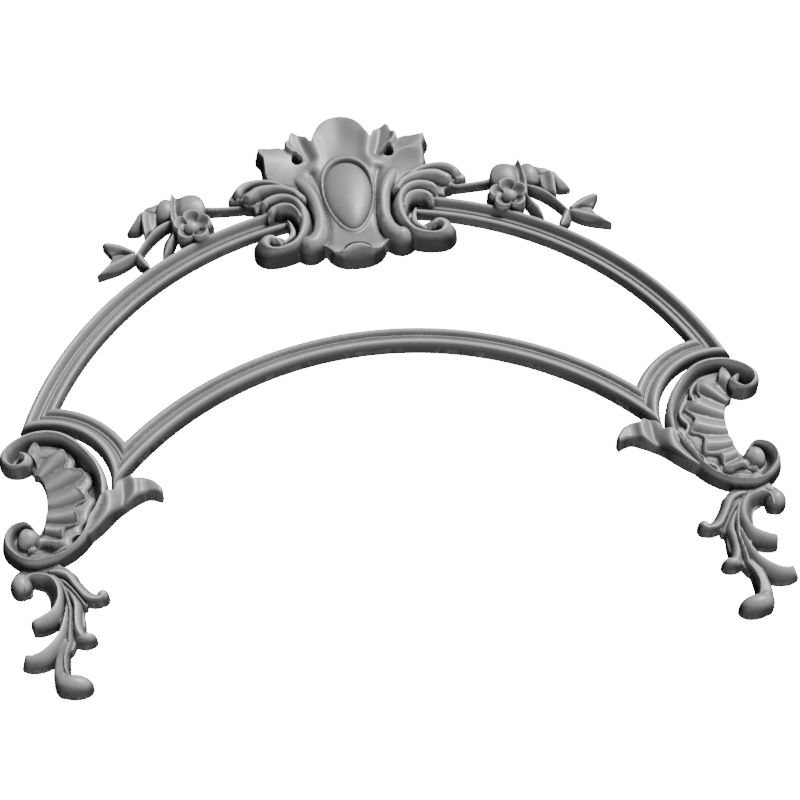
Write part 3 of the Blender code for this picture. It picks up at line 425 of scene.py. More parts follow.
def inner_leaf_surface(x, z, inside):
    """Two furrows between a turned-up tip, a low rib and the high crest of the root."""
    root = [(462, 184), (455, 168), (454, 152), (458, 136), (466, 120), (478, 104), (490, 92)]
    crest = crease(x, z, root, 12)
    rib = crease(x, z, [(413, 206), (411, 184), (413, 166), (422, 152)], 7)
    furrow = crease(x, z, [(429, 212), (430, 188), (430, 166), (436, 146)], 8)
    tip = np.clip((392 - x) / 24, 0, 1)
    return 25 + 12 * crest + 7 * rib - 5 * furrow + 8 * tip


def bulge(x, z, top, fall, half_x, half_z):
    """A rounded surface that falls away from its middle."""
    def surface(px, pz, inside):
        return top - fall * np.clip(np.hypot((px - x) / half_x, (pz - z) / half_z), 0, 1.6) ** 2

    return surface


def ribbed(edge, top, rib, width):
    """A leaf surface with a raised midrib."""
    return lambda x, z, inside: edge + (top - edge) * crease(x, z, rib, width)


def first_cup(x, z, inside):
    """The widest cup of the bud: a rounded back, a dip before its raised mouth and a spike on top."""
    back = 11 * np.clip(np.hypot((x - 281) / 34, (z - 768) / 32), 0, 1.2) ** 2
    mouth = crease(x, z, [(312, 801), (314, 785), (315, 765), (316, 745), (313, 728)], 5)
    dip = crease(x, z, [(302, 784), (304, 765), (305, 745)], 6)
    return np.maximum(32 - back - 5 * dip, 19 + 10 * mouth)


def carve_spray(relief):
    """Bud, five-petalled flower and three-part leaf on stems behind the frame."""
    relief.stroke([
        (160, 756, 17, 6, 6), (200, 757, 18, 6.5, 6.5), (240, 759, 19, 7, 7), (262, 762, 19, 8, 8),
    ], "round", "round", (6, 6))
    # cups of the bud, each tucked under the one before
    relief.leaf([
        (364, 770), (373, 762), (380, 750), (396, 733), (395, 727), (385, 724), (372, 725), (366, 742),
    ], bulge(372, 756, 24, 9, 26, 26), 5, 9, corners=(3,))
    relief.leaf([
        (338, 784), (347, 780), (358, 777), (364, 771), (358, 764), (344, 762),
    ], level(20), 4, 6, corners=(3,))
    relief.leaf([
        (343, 763), (352, 763), (361, 765), (367, 757), (368, 744), (367, 729), (366, 714), (365, 700),
        (357, 714), (347, 722), (343, 730), (342, 745),
    ], ribbed(20, 29, [(364, 762), (365, 742), (363, 712)], 8), 3, 6, corners=(7,))
    relief.leaf([
        (312, 788), (325, 791), (335, 785), (341, 770), (344, 755), (343, 744), (331, 741), (316, 744),
    ], bulge(325, 768, 30, 11, 20, 26), 5, 9)
    relief.leaf([
        (254, 762), (258, 780), (266, 790), (280, 793), (298, 791), (312, 801), (315, 785), (317, 765),
        (318, 745), (314, 722), (290, 712), (262, 734),
    ], first_cup, 5, 8, corners=(5,))
    # leaves under the flower
    relief.stroke([
        (258, 742, 20, 5, 6), (250, 728, 24, 7, 6), (249, 714, 24, 6, 6), (252, 705, 18, 3, 3),
    ], "soft", "soft", (12, 12))
    relief.stroke([
        (311, 716, 24, 9, 4), (315, 703, 26, 11, 7), (321, 690, 26, 12, 8), (327, 677, 25, 9, 7),
        (333, 662, 20, 4, 4), (336, 654, 15, 1.5, 1.5),
    ], "bevel", "bevel", (11, 11))
    relief.stroke([
        (312, 741, 21, 3, 8), (335, 729, 23, 3, 10), (348, 718, 23, 3, 10), (362, 701, 22, 3, 9),
        (380, 673, 19, 4, 7),
    ], "round", "dome", (11, 7))
    carve_flower(relief, 280.0, 713.5, 34.5)
    # three-part leaf
    relief.leaf([
        (383, 681), (392, 690), (401, 698), (415, 706), (431, 709), (440, 702), (436, 694), (430, 684),
        (426, 679), (406, 682), (386, 674),
    ], ribbed(12, 20, [(386, 677), (408, 691), (434, 702)], 8), 4, 5, corners=(5, 8))
    relief.leaf([
        (380, 672), (386, 674), (406, 683), (424, 680), (428, 668), (438, 648), (453, 631), (448, 632),
        (430, 637), (412, 643), (397, 651), (385, 661),
    ], ribbed(12, 21, [(384, 673), (402, 664), (435, 646), (450, 632)], 8), 4, 5, corners=(3, 6))
    relief.leaf([
        (374, 676), (384, 672), (385, 663), (380, 648), (372, 641), (360, 637), (360, 650), (366, 664),
    ], ribbed(12, 20, [(378, 670), (371, 656), (362, 641)], 7), 4, 5, corners=(5,))


def carve_flower(relief, x, z, size):
    """Five cupped petals with raised rims round a boss, the first petal pointing up."""
    where = relief.around(np.array([[x, z]]), size + FALL_REACH)
    dx, dz = relief.x[where] - x, relief.z[where] - z
    out = np.hypot(dx, dz)
    petal = np.abs(np.cos(2.5 * (np.arctan2(dz, dx) - math.pi / 2)))
    edge = size * (0.69 + 0.31 * petal**0.55)
    u = np.clip(out / edge, 0, 1)
    cup = np.clip((u - 0.45) / 0.45, 0, 1) ** 2
    between = np.clip(1 - petal / 0.4, 0, 1)
    rounding = 2 * np.clip((u - 0.93) / 0.07, 0, 1) ** 2
    relief.raise_to(where, (edge - out) * 0.92, 25 + 11 * cup + 4 * between * (1 - cup) - rounding)
    relief.dome(x + 1, z - 3, 13.5, 13, 39, 25)


BODY_SIDE = [
    (12, 937), (26, 930), (40, 916), (49, 896), (54, 885), (62, 899), (73, 907), (86, 914), (91, 905),
    (93, 896), (99, 889), (103, 874), (114, 877), (128, 876), (150, 878), (157, 868), (150, 854),
    (148, 838), (149, 822), (148, 808), (139, 799), (110, 790), (85, 765), (72, 730), (68, 690),
    (70, 655), (62, 640), (53, 632), (46, 620), (36, 610), (22, 604),
]
BODY_CORNERS = [4, 7, 11, 14]
OVAL_CENTRE, OVAL_HALF_WIDTH, OVAL_HALF_HEIGHT = 754.0, 42.0, 82.0
TURNED_BACK_FROM = [(799, 137), (820, 142), (850, 142), (868, 150)]


def mirrored(side, top, bottom, corners):
    """A closed outline from its right side, with the places of its corners on both sides."""
    outline = [top] + side + [bottom] + [(-x, z) for x, z in reversed(side)]
    places = [k + 1 for k in corners]
    return outline, sorted(places + [len(outline) - k for k in places])


def oval_width(z):
    return OVAL_HALF_WIDTH * (1 + 0.2 * np.clip((z - OVAL_CENTRE) / OVAL_HALF_HEIGHT, -1, 1))


def oval_place(x, z):
    """0 in the middle of the oval boss and 1 on its edge."""
    return np.hypot(x / oval_width(z), (z - OVAL_CENTRE) / OVAL_HALF_HEIGHT)


def oval_surface(x, z, inside):
    u = np.clip(oval_place(x, z), 0, 1)
    return 17 + 20 * SECTIONS["round"](u) - 4 * (1 - u) * (z - OVAL_CENTRE) / OVAL_HALF_HEIGHT


def body_surface(x, z, inside):
    """The panel: hollow lobes with folds between them, a ring round the oval and a foot that swells."""
    lobe = 13 * np.clip((z - 830) / 108, 0, 1) ** 1.3
    hollow = 5 * np.exp(-((x / 28) ** 2)) * np.clip((z - 836) / 50, 0, 1)
    fold = 5 * crease(x, z, [(52, 892), (49, 872), (46, 850), (50, 826)], 12)
    ear = 6 * crease(x, z, [(76, 912), (73, 893), (67, 872), (58, 848)], 11)
    ear_rim = 8 * crease(x, z, [(98, 884), (96, 873), (89, 864), (80, 856), (73, 846)], 5)
    wing = 13 * np.clip((x - 85) / 55, 0, 1) * np.exp(-(((z - 846) / 32) ** 2))
    turned_back = 22 * np.clip((x - np.interp(z, *zip(*TURNED_BACK_FROM))) / 6, 0, 1)
    valley = 5 * crease(x, z, [(60, 810), (52, 780), (48, 740), (46, 700), (46, 665), (48, 640)], 7)
    foot = 12 * np.clip((676 - z) / 50, 0, 1) ** 1.3
    past = (oval_place(x, z) - 1) * OVAL_HALF_WIDTH
    ring = 4 * np.exp(-(((past - 2.2) / 2) ** 2))
    sunk = 9 * np.clip(-past / 2, 0, 1)
    under_lip = 30 * np.clip((np.interp(np.abs(x), LIP_ACROSS, LIP_TOP) - 1 - z) / 4, 0, 1)
    raised = lobe + fold + ear_rim + wing + foot + ring
    return 25 + raised - hollow - ear - turned_back - valley - sunk - under_lip


LIP_ACROSS = [0, 9, 17, 26, 40, 54]
LIP_TOP = [629, 628, 623.5, 615, 616, 630]
LIP_FOOT = [602, 602.5, 603, 605.5, 613, 630]


def lip_surface(x, z, inside):
    """The rolled lip: highest a little under its upper edge, then rounded down to its foot."""
    x = np.abs(x)
    top, foot = np.interp(x, LIP_ACROSS, LIP_TOP), np.interp(x, LIP_ACROSS, LIP_FOOT)
    u = np.clip((top - z) / np.maximum(top - foot, 2), 0, 1)
    return 5 + (41 - 6 * (x / 54) ** 2) * SECTIONS["dome"](u) - 6 * (1 - u) ** 5


def carve_cartouche(relief):
    """Leafy panel with an oval boss, a rolled lip and an S moulding on each side."""
    outline, corners = mirrored(BODY_SIDE, (0, 939), (0, 602), BODY_CORNERS)
    relief.leaf(outline, body_surface, 3, 4, corners)
    turn = np.linspace(-math.pi / 2, math.pi / 2, 29)
    heights = OVAL_CENTRE + OVAL_HALF_HEIGHT * np.sin(turn)
    oval = [(oval_width(z) * math.cos(t), z) for t, z in zip(turn, heights)]
    relief.leaf(oval + [(-x, z) for x, z in oval[-2:0:-1]], oval_surface, 1.5, 1)
    side = list(zip(LIP_ACROSS, LIP_TOP)) + list(zip(LIP_ACROSS, LIP_FOOT))[-2:0:-1]
    lip = side + [(0, LIP_FOOT[0])] + [(-x, z) for x, z in side[:0:-1]]
    relief.leaf(lip, lip_surface, 1.5, 1, corners=(5, 16))
    relief.stroke([
        (92, 807, 23, 8, 13), (85, 799, 29, 10, 18), (77, 785, 34, 12, 20), (69, 769, 37.5, 14, 18),
        (62, 751, 39, 15, 16), (58, 735, 40, 14, 13), (56, 717, 40.5, 13, 14), (55, 699, 41, 13, 17),
        (57, 681, 41.5, 14, 19), (62, 664, 42, 14, 20), (68, 652, 42, 13, 18), (74, 645, 42, 12, 16),
    ], "round", "soft", (22, 20))
    relief.stroke([
        (58, 700, 38, 6, 8), (57, 681, 41, 12, 14), (62, 664, 43.5, 16, 18), (68, 652, 45, 19, 21),
        (75, 644, 46, 22, 21), (80, 642, 46, 23, 21),
    ], "round", "round", (14, 8))
    relief.dome(80, 643, 25, 22.5, 46, 5)
    carve_side_scroll(relief)


VOLUTE = (145.5, 654.0)


def carve_side_scroll(relief):
    """Three rounded fingers that gather into one tube, which curls into a volute."""
    relief.leaf([
        (194, 764), (206, 764), (213, 770), (206, 785), (195, 797), (178, 807), (162, 810), (144, 807),
        (126, 799), (104, 785), (82, 757), (72, 722), (70, 690), (77, 657), (97, 636), (108, 640),
        (100, 660), (92, 690), (98, 712), (110, 722), (128, 724), (140, 713), (150, 722), (157, 732),
        (168, 732), (172, 745), (184, 749), (188, 758),
    ], level(24), 5, 10)
    # floor of the hollow behind the tube, and the thin fin that stands in it
    relief.leaf([
        (92, 740), (90, 700), (96, 678), (108, 660), (120, 668), (115, 682), (115, 699), (126, 712),
        (138, 716), (136, 730), (120, 740),
    ], level(10), 2, 1)
    relief.stroke([
        (114, 706, 28, 1, 1.5), (110, 698, 30, 2.5, 2.5), (108, 688, 31, 4, 4), (107, 677, 32, 5, 5),
        (112, 665, 33, 5, 5), (119, 658, 33, 3.5, 3.5), (124, 653, 33, 2.5, 2.5),
    ], "full", "full", (24, 24))
    # outermost finger
    relief.stroke([
        (197, 769, 27, 4, 6), (196, 773, 34, 7, 12), (195, 777, 36.5, 8, 15), (190, 787, 37, 9, 14),
        (179, 795, 37, 9, 14), (163, 798, 37, 7, 14), (146, 796, 37.5, 6, 13), (132, 791, 38, 6, 12),
        (117, 782, 39, 6, 11), (103, 769, 40, 6, 10), (92, 752, 41, 6, 9),
    ], "round", "dome", (28, 9))
    # middle finger
    relief.stroke([
        (181, 755, 27, 5, 5), (178, 759, 38, 9, 10), (175, 763, 40.5, 11, 11), (170, 767, 41, 12, 11),
        (160, 774, 41.5, 13, 11), (146, 777, 42, 13, 10), (133, 777, 42, 12, 9), (115, 772, 43, 12, 9),
        (98, 761, 44, 11, 10), (87, 745, 45, 10, 11),
    ], "dome", "round", (26, 28))
    # inner finger, which becomes the tube and the coil
    relief.stroke([
        (154, 733, 28, 5, 6), (152, 738, 40, 8, 12), (149, 743, 43, 9, 15), (142, 748, 44, 11, 15),
        (132, 752, 44.5, 12, 13), (120, 753, 45, 12, 12), (109, 750, 45.5, 12, 12), (99, 743, 46, 11, 13),
        (91, 731, 46.5, 10, 15), (86, 716, 47, 9, 17), (84.5, 700, 47, 10, 16), (84.5, 688, 47, 10, 15),
        (88, 673, 47, 9, 15), (95, 655, 47, 9, 15), (104, 643, 47, 9, 13), (113, 637, 47, 9, 11),
        (124, 632, 47.5, 9, 9), (137, 629, 48, 9, 8), (148, 632, 48, 8, 12), (155, 639, 48, 8, 18),
        (157, 647, 48, 8, 22), (154, 654, 47, 7, 24), (147, 657.5, 45.5, 5, 25), (141, 655, 44, 4, 20),
    ], "round", "dome", (22, 5))
    # last flute under the inner finger
    relief.stroke([
        (145, 715, 28, 2, 2), (141, 722, 38, 5, 5), (134, 730, 41, 7, 6), (124, 733, 43, 9, 7),
        (113, 732, 44, 9, 7), (103, 726, 45, 8, 7), (96, 714, 45.5, 5, 6), (92, 700, 46, 4, 5),
    ], "dome", "soft", (34, 36))
    relief.dome(*VOLUTE, 33, 31, 18, 12)


EYE = [(92, 844), (91, 854), (86, 861), (79, 855), (73, 847), (74, 841), (82, 837), (89, 838)]
EYE_FLOOR = 8.0
SLIT_SIDE = [
    (0, 637), (9, 635.5), (17, 630.5), (24, 622), (27, 613.5), (20, 621.5), (13, 626.5), (6, 629),
    (0, 629.5),
]


def carve(x, z):
    """The whole carving at the given points of the drawing."""
    relief = Carving(x, z)
    for carve_part in (carve_frame, carve_drop, carve_rocaille, carve_spray, carve_cartouche):
        carve_part(relief)
    eye = within(relief.x, relief.z, outline_path(EYE))
    relief.height = np.where(eye, EYE_FLOOR, np.maximum(relief.height, THINNEST))
    relief.cut(SLIT_SIDE + [(-x, z) for x, z in SLIT_SIDE[-2:0:-1]], corners=(4, 12))
    return relief


def settle_on_outline(x, z, on_axis, step):
    """Moves points on to the outline, where inside is 0, along its slope."""
    reach = 0.2
    for _ in range(3):
        count = len(x)
        probe = carve(np.concatenate([x, x + reach, x]), np.concatenate([z, z, z + reach])).inside
        here, slope_x, slope_z = probe[:count], probe[count:2 * count], probe[2 * count:]
        slope_x = np.where(on_axis, 0, (slope_x - here) / reach)
        slope_z = (slope_z - here) / reach
        move = np.clip(here / np.maximum(slope_x**2 + slope_z**2, 0.09), -step, step)
        x, z = x - move * slope_x, z - move * slope_z
    return x, z


def carved_half(step):
    """The half x >= 0 as a bmesh in millimetres, open at x = 0."""
    columns, rows = int(HALF_WIDTH / step) + 1, int((SHEET_TOP - SHEET_BOTTOM) / step) + 1
    grid_x, grid_z = np.meshgrid(
        np.arange(columns + 1) * step, SHEET_BOTTOM + np.arange(rows + 1) * step, indexing="ij")
    core = carve(grid_x.ravel(), grid_z.ravel()).inside.reshape(grid_x.shape) > 0.3 * step
    keep = core[:-1, :-1] | core[1:, :-1] | core[:-1, 1:] | core[1:, 1:]
    # no two kept cells meet at a corner alone
    for _ in range(6):
        a, b, c, d = keep[:-1, :-1], keep[1:, 1:], keep[1:, :-1], keep[:-1, 1:]
        rising, falling = a & b & ~c & ~d, c & d & ~a & ~b
        keep[1:, :-1] |= rising
        keep[:-1, :-1] |= falling

    mesh = bmesh.new()
    bmesh.ops.create_grid(mesh, x_segments=columns, y_segments=rows, size=1.0)

    def cell(vert):
        return round((vert.co.x + 1) / 2 * columns), round((vert.co.y + 1) / 2 * rows)

    unused = []
    for face in mesh.faces:
        corners = [cell(vert) for vert in face.verts]
        if not keep[min(i for i, _ in corners), min(j for _, j in corners)]:
            unused.append(face)
    bmesh.ops.delete(mesh, geom=unused, context="FACES")
    bmesh.ops.delete(mesh, geom=[vert for vert in mesh.verts if not vert.link_faces], context="VERTS")
    mesh.verts.index_update()
    places = np.array([cell(vert) for vert in mesh.verts])
    x, z = places[:, 0] * step, places[:, 1] * step + SHEET_BOTTOM

    # the ragged edge is drawn on to the outline and evened out along it
    beside = {}
    for edge in mesh.edges:
        ends = [vert.index for vert in edge.verts]
        if edge.is_boundary and x[ends].max() > 0:
            beside.setdefault(ends[0], []).append(ends[1])
            beside.setdefault(ends[1], []).append(ends[0])
    rim = np.array(sorted(beside))
    order = {vert: k for k, vert in enumerate(rim)}
    first = np.array([order[beside[vert][0]] for vert in rim])
    last = np.array([order[beside[vert][-1]] for vert in rim])
    on_axis = x[rim] == 0
    rim_x, rim_z = settle_on_outline(x[rim], z[rim], on_axis, step)
    for _ in range(3):
        even_x = 0.5 * rim_x + 0.25 * (rim_x[first] + rim_x[last])
        even_z = 0.5 * rim_z + 0.25 * (rim_z[first] + rim_z[last])
        rim_x, rim_z = settle_on_outline(
            np.where(on_axis, 0, even_x), np.where(on_axis, rim_z, even_z), on_axis, step)
    x[rim], z[rim] = rim_x, rim_z
    for vert in mesh.verts:
        vert.co = (x[vert.index], 0, z[vert.index])

    raised = bmesh.ops.extrude_face_region(mesh, geom=mesh.faces[:], use_keep_orig=True)["geom"]
    face_verts = [item for item in raised if isinstance(item, bmesh.types.BMVert)]
    places = np.array([vert.co[:] for vert in face_verts])
    for vert, height in zip(face_verts, carve(places[:, 0], places[:, 2]).height):
        vert.co.y = -height
    seam = [face for face in mesh.faces if all(abs(vert.co.x) < 1e-6 for vert in face.verts)]
    bmesh.ops.delete(mesh, geom=seam, context="FACES")
    bmesh.ops.recalc_face_normals(mesh, faces=mesh.faces)
    return mesh


def height_map(step):
    """How far each place of the half x >= 0 lies over or under its surroundings, on a grid; it drives the
    primer's painted shade and painted highlight.
    """
    across = np.arange(0, HALF_WIDTH + 2 * step, step)
    up = np.arange(SHEET_BOTTOM, SHEET_TOP + 2 * step, step)
    grid_x, grid_z = np.meshgrid(across, up, indexing="ij")
    relief = carve(grid_x.ravel(), grid_z.ravel())
    solid = (relief.inside > 0).reshape(grid_x.shape).astype(float)
    height = relief.height.reshape(grid_x.shape) * solid
    wide = blurred(height, BLUR_CELLS) / np.maximum(blurred(solid, BLUR_CELLS), 0.05)
    return np.where(solid > 0, height - wide, 0.0)


def blurred(values, cells):
    """Three box blurs each way, close to a gaussian. The values are mirrored at x = 0."""
    values = np.vstack([values[1:3 * cells + 1][::-1], values])
    for axis in (0, 1):
        for _ in range(3):
            sums = np.cumsum(values, axis=axis)
            ahead = np.roll(sums, -cells, axis=axis)
            behind = np.roll(sums, cells + 1, axis=axis)
            mean = (ahead - behind) / (2 * cells + 1)
            inner = [slice(None), slice(None)]
            inner[axis] = slice(cells + 1, -cells)
            values = values.copy()
            values[tuple(inner)] = mean[tuple(inner)]
    return values[3 * cells:]


def group_tree(name, inputs, outputs, kind="ShaderNodeTree"):
    tree = bpy.data.node_groups.new(name, kind)
    for label, socket, value in inputs:
        made = tree.interface.new_socket(name=label, in_out="INPUT", socket_type="NodeSocket" + socket)
        if value is not None:
            made.default_value = value
    for label, socket in outputs:
        tree.interface.new_socket(name=label, in_out="OUTPUT", socket_type="NodeSocket" + socket)
    return tree, tree.nodes.new("NodeGroupInput").outputs, tree.nodes.new("NodeGroupOutput").inputs


def add_node(tree, kind, inputs=(), **settings):
    """A new node's outputs. Each of its inputs is given either a socket to link or a value."""
    node = tree.nodes.new(kind)
    for name, value in settings.items():
        setattr(node, name, value)
    for name, value in dict(inputs).items():
        if isinstance(value, bpy.types.NodeSocket):
            tree.links.new(value, node.inputs[name])
        else:
            node.inputs[name].default_value = value
    return node.outputs


def math_node(tree, operation, *values):
    return add_node(tree, "ShaderNodeMath", enumerate(values), operation=operation)[0]


def mottle_group():
    """Broad and fine noise together, from 0 to 1 round 0.5."""
    tree, start, end = group_tree(
        "Mottle", [("Vector", "Vector", None), ("Scale", "Float", 20.0), ("Contrast", "Float", 1.0)],
        [("Value", "Float")])
    noise = add_node(tree, "ShaderNodeTexNoise", {
        "Vector": start["Vector"], "Scale": start["Scale"], "Detail": 4.0, "Roughness": 0.6})
    spread = add_node(tree, "ShaderNodeMapRange", {"Value": noise["Fac"], "From Min": 0.3, "From Max": 0.7})
    centred = math_node(tree, "SUBTRACT", spread["Result"], 0.5)
    scaled = math_node(tree, "MULTIPLY_ADD", centred, start["Contrast"], 0.5)
    tree.links.new(scaled, end["Value"])
    return tree


def use_mottle(tree, group, vector, scale, contrast):
    inputs = {"Vector": vector, "Scale": scale, "Contrast": contrast}
    return add_node(tree, "ShaderNodeGroup", inputs, node_tree=group)["Value"]


def colour_ramp(tree, value, stops):
    """Greys at the given places, spread by the value."""
    colour = add_node(tree, "ShaderNodeValToRGB", {"Fac": value})["Color"]
    elements = colour.node.color_ramp.elements
    while len(elements) < len(stops):
        elements.new(0.5)
    for element, (place, grey) in zip(elements, stops):
        element.position = place
        element.color = (grey, grey, grey, 1)
    return colour


def new_material(name):
    """A material with its tree, its shader's inputs and the object's own coordinates."""
    material = bpy.data.materials.new(name)
    material.use_nodes = True
    tree = material.node_tree
    place = add_node(tree, "ShaderNodeTexCoord")["Object"]
    return material, tree, tree.nodes["Principled BSDF"].inputs, place


def primer_material(mottle, settings):
    """Satin grey primer with a fine tooth; painted shade darkens the hollows and a painted highlight
    lightens the crests.
    """
    material, tree, shader, place = new_material("Satin grey primer")
    # painted shade and highlight: the relief over its surroundings, kept per point, sets how dark or light
    # the grey is
    painted_shade_input = add_node(tree, "ShaderNodeAttribute", attribute_name="painted_relief_shade")
    broad = use_mottle(tree, mottle, place, 9.0, 0.5)
    painted_light_level = add_node(tree, "ShaderNodeMapRange", {
        "Value": painted_shade_input["Fac"], "From Min": -PAINTED_SHADE_RANGE, "From Max": PAINTED_SHADE_RANGE})
    mottle_and_painted_shade = math_node(tree, "MULTIPLY_ADD", broad, 0.3, painted_light_level["Result"])
    grey = settings.grey
    # painted shade takes the hollows down to 0.15 of the grey, a painted highlight takes the crests up to
    # 1.7 of it
    shade = colour_ramp(tree, mottle_and_painted_shade, [(0.05, grey * 0.15), (0.6, grey * 0.8), (1.0, grey * 1.7)])
    tree.links.new(shade, shader["Base Color"])
    fine = use_mottle(tree, mottle, place, 60.0, 0.8)
    rough = add_node(tree, "ShaderNodeMapRange", {
        "Value": fine, "To Min": settings.roughness - 0.05, "To Max": settings.roughness + 0.05})
    tree.links.new(rough["Result"], shader["Roughness"])
    tooth = use_mottle(tree, mottle, place, 900.0, 1.0)
    bump = add_node(tree, "ShaderNodeBump", {"Strength": 0.06, "Distance": 0.0002, "Height": tooth})
    tree.links.new(bump["Normal"], shader["Normal"])
    shader["Metallic"].default_value = 0.0
    shader["Specular IOR Level"].default_value = 1.0
    return material


def floor_material(mottle):
    material, tree, shader, place = new_material("Pale floor")
    cloud = use_mottle(tree, mottle, place, 1.5, 0.4)
    shade = colour_ramp(tree, cloud, [(0.0, 0.78), (1.0, 0.82)])
    tree.links.new(shade, shader["Base Color"])
    shader["Roughness"].default_value = 0.7
    return material


def hand_finish_tree():
    """Geometry nodes: the slight unevenness that a carver's hand leaves on the front, and the material."""
    tree, start, end = group_tree(
        "Hand finish",
        [("Geometry", "Geometry", None), ("Depth", "Float", 0.0001), ("Scale", "Float", 60.0),
         ("Seed", "Float", 0.0), ("Back", "Float", 0.003), ("Material", "Material", None)],
        [("Geometry", "Geometry")], kind="GeometryNodeTree")
    noise = add_node(tree, "ShaderNodeTexNoise", {
        "Scale": start["Scale"], "W": start["Seed"], "Detail": 2.0}, noise_dimensions="4D")
    centred = math_node(tree, "SUBTRACT", noise["Fac"], 0.5)
    scaled = math_node(tree, "MULTIPLY", centred, start["Depth"])
    normal = add_node(tree, "GeometryNodeInputNormal")["Normal"]
    offset = add_node(tree, "ShaderNodeVectorMath", {0: normal, "Scale": scaled}, operation="SCALE")
    place = add_node(tree, "GeometryNodeInputPosition")["Position"]
    apart = add_node(tree, "ShaderNodeSeparateXYZ", {"Vector": place})
    behind = math_node(tree, "MULTIPLY", start["Back"], -1.0)
    front = math_node(tree, "LESS_THAN", apart["Y"], behind)
    moved = add_node(tree, "GeometryNodeSetPosition", {
        "Geometry": start["Geometry"], "Selection": front, "Offset": offset["Vector"]})
    real = add_node(tree, "GeometryNodeRealizeInstances", {"Geometry": moved["Geometry"]})
    painted = add_node(tree, "GeometryNodeSetMaterial", {
        "Geometry": real["Geometry"], "Material": start["Material"]})
    tree.links.new(painted["Geometry"], end["Geometry"])
    return tree


def give_inputs(modifier, **values):
    """Sets a geometry nodes modifier's inputs by their names."""
    for item in modifier.node_group.interface.items_tree:
        if item.item_type == "SOCKET" and item.in_out == "INPUT" and item.name in values:
            modifier[item.identifier] = values[item.name]


def made_real(holder, name):
    """The holder's evaluated shape as a plain mesh object. The holder is removed."""
    bpy.context.view_layer.update()
    evaluated = holder.evaluated_get(bpy.context.evaluated_depsgraph_get())
    mesh = bpy.data.meshes.new_from_object(evaluated)
    mesh.name = name
    bpy.data.objects.remove(holder)
    piece = bpy.data.objects.new(name, mesh)
    bpy.context.scene.collection.objects.link(piece)
    return piece


def mark_painted_relief_shade(mesh, step):
    """Stores how far each point stands over its surroundings, in millimetres: the primer paints shade from
    it into the hollows and a highlight on to the crests.
    """
    heights = height_map(step)
    places = np.empty(len(mesh.vertices) * 3, np.float32)
    mesh.vertices.foreach_get("co", places)
    places = places.reshape(-1, 3) * 1000
    across = np.clip(np.abs(places[:, 0]) / step, 0, heights.shape[0] - 1.001)
    up = np.clip((places[:, 2] + MOUNT_HEIGHT - SHEET_BOTTOM) / step, 0, heights.shape[1] - 1.001)
    i, j = across.astype(int), up.astype(int)
    a, b = across - i, up - j
    low = heights[i, j] * (1 - a) + heights[i + 1, j] * a
    high = heights[i, j + 1] * (1 - a) + heights[i + 1, j + 1] * a
    attribute = mesh.attributes.new("painted_relief_shade", "FLOAT", "POINT")
    attribute.data.foreach_set("value", (low * (1 - b) + high * b).astype(np.float32))


def sun(name, direction, strength, spread):
    light = bpy.data.lights.new(name, "SUN")
    light.energy = strength
    light.angle = math.radians(spread)
    lamp = bpy.data.objects.new(name, light)
    lamp.rotation_mode = "QUATERNION"
    lamp.rotation_quaternion = Vector(direction).to_track_quat("Z", "Y")
    bpy.context.scene.collection.objects.link(lamp)


def white_surround(settings):
    """White to the camera, and a dim fill to everything else."""
    world = bpy.data.worlds.new("Surround")
    world.use_nodes = True
    tree = world.node_tree
    tree.nodes.clear()
    path = add_node(tree, "ShaderNodeLightPath")
    white = (1, 1, 1, 1)
    fill = add_node(tree, "ShaderNodeBackground", {"Color": white, "Strength": settings.fill})
    seen = add_node(tree, "ShaderNodeBackground", {"Color": white, "Strength": SURROUND_SEEN})
    mix = add_node(tree, "ShaderNodeMixShader", {
        "Fac": path["Is Camera Ray"], 1: fill["Background"], 2: seen["Background"]})
    add_node(tree, "ShaderNodeOutputWorld", {"Surface": mix["Shader"]})
    bpy.context.scene.world = world


class CrestSettings(PropertyGroup):
    step: FloatProperty(
        name="Carving step", description="Spacing of the carved grid in millimetres", default=1.25,
        min=1.0, max=5.0)
    triangles: IntProperty(
        name="Triangles", description="Size of the finished mesh", default=188000, min=10000, max=195000)
    hand_depth: FloatProperty(
        name="Unevenness", description="How far the surface wanders from its true form", default=0.00025,
        min=0.0, max=0.001, subtype="DISTANCE", unit="LENGTH", precision=5)
    hand_scale: FloatProperty(
        name="Unevenness scale", description="How often the surface wanders, per metre", default=45.0,
        min=1.0)
    seed: FloatProperty(name="Seed", description="Which unevenness is made", default=3.0)
    crease_angle: FloatProperty(
        name="Crease angle", description="Edges sharper than this stay sharp", default=math.radians(52),
        subtype="ANGLE", unit="ROTATION")
    grey: FloatProperty(
        name="Grey", description="Lightness of the primer", default=0.3, min=0.0, max=1.0, subtype="FACTOR")
    roughness: FloatProperty(
        name="Roughness", description="Roughness of the primer", default=0.45, min=0.1, max=1.0,
        subtype="FACTOR")


class StudioSettings(PropertyGroup):
    key: FloatProperty(name="Key light", description="Strength of the key light", default=4.9, min=0.0)
    lower: FloatProperty(
        name="Lower light", description="Strength of the light from below", default=0.03, min=0.0)
    key_spread: FloatProperty(
        name="Light spread", description="Angle of the lights in degrees", default=20.0)
    fill: FloatProperty(
        name="Fill", description="Strength of the light from all round", default=0.003, min=0.0)
    lens: FloatProperty(
        name="Lens", description="Focal length of the camera in millimetres", default=93.06, min=10.0)
    floor_size: FloatProperty(
        name="Floor size", description="Side of the floor. A wide one lights the undersides", default=5.0,
        min=1.0, subtype="DISTANCE", unit="LENGTH")
    floor_height: FloatProperty(
        name="Floor height", description="Height of the floor under the crest", default=-2.9,
        subtype="DISTANCE", unit="LENGTH")


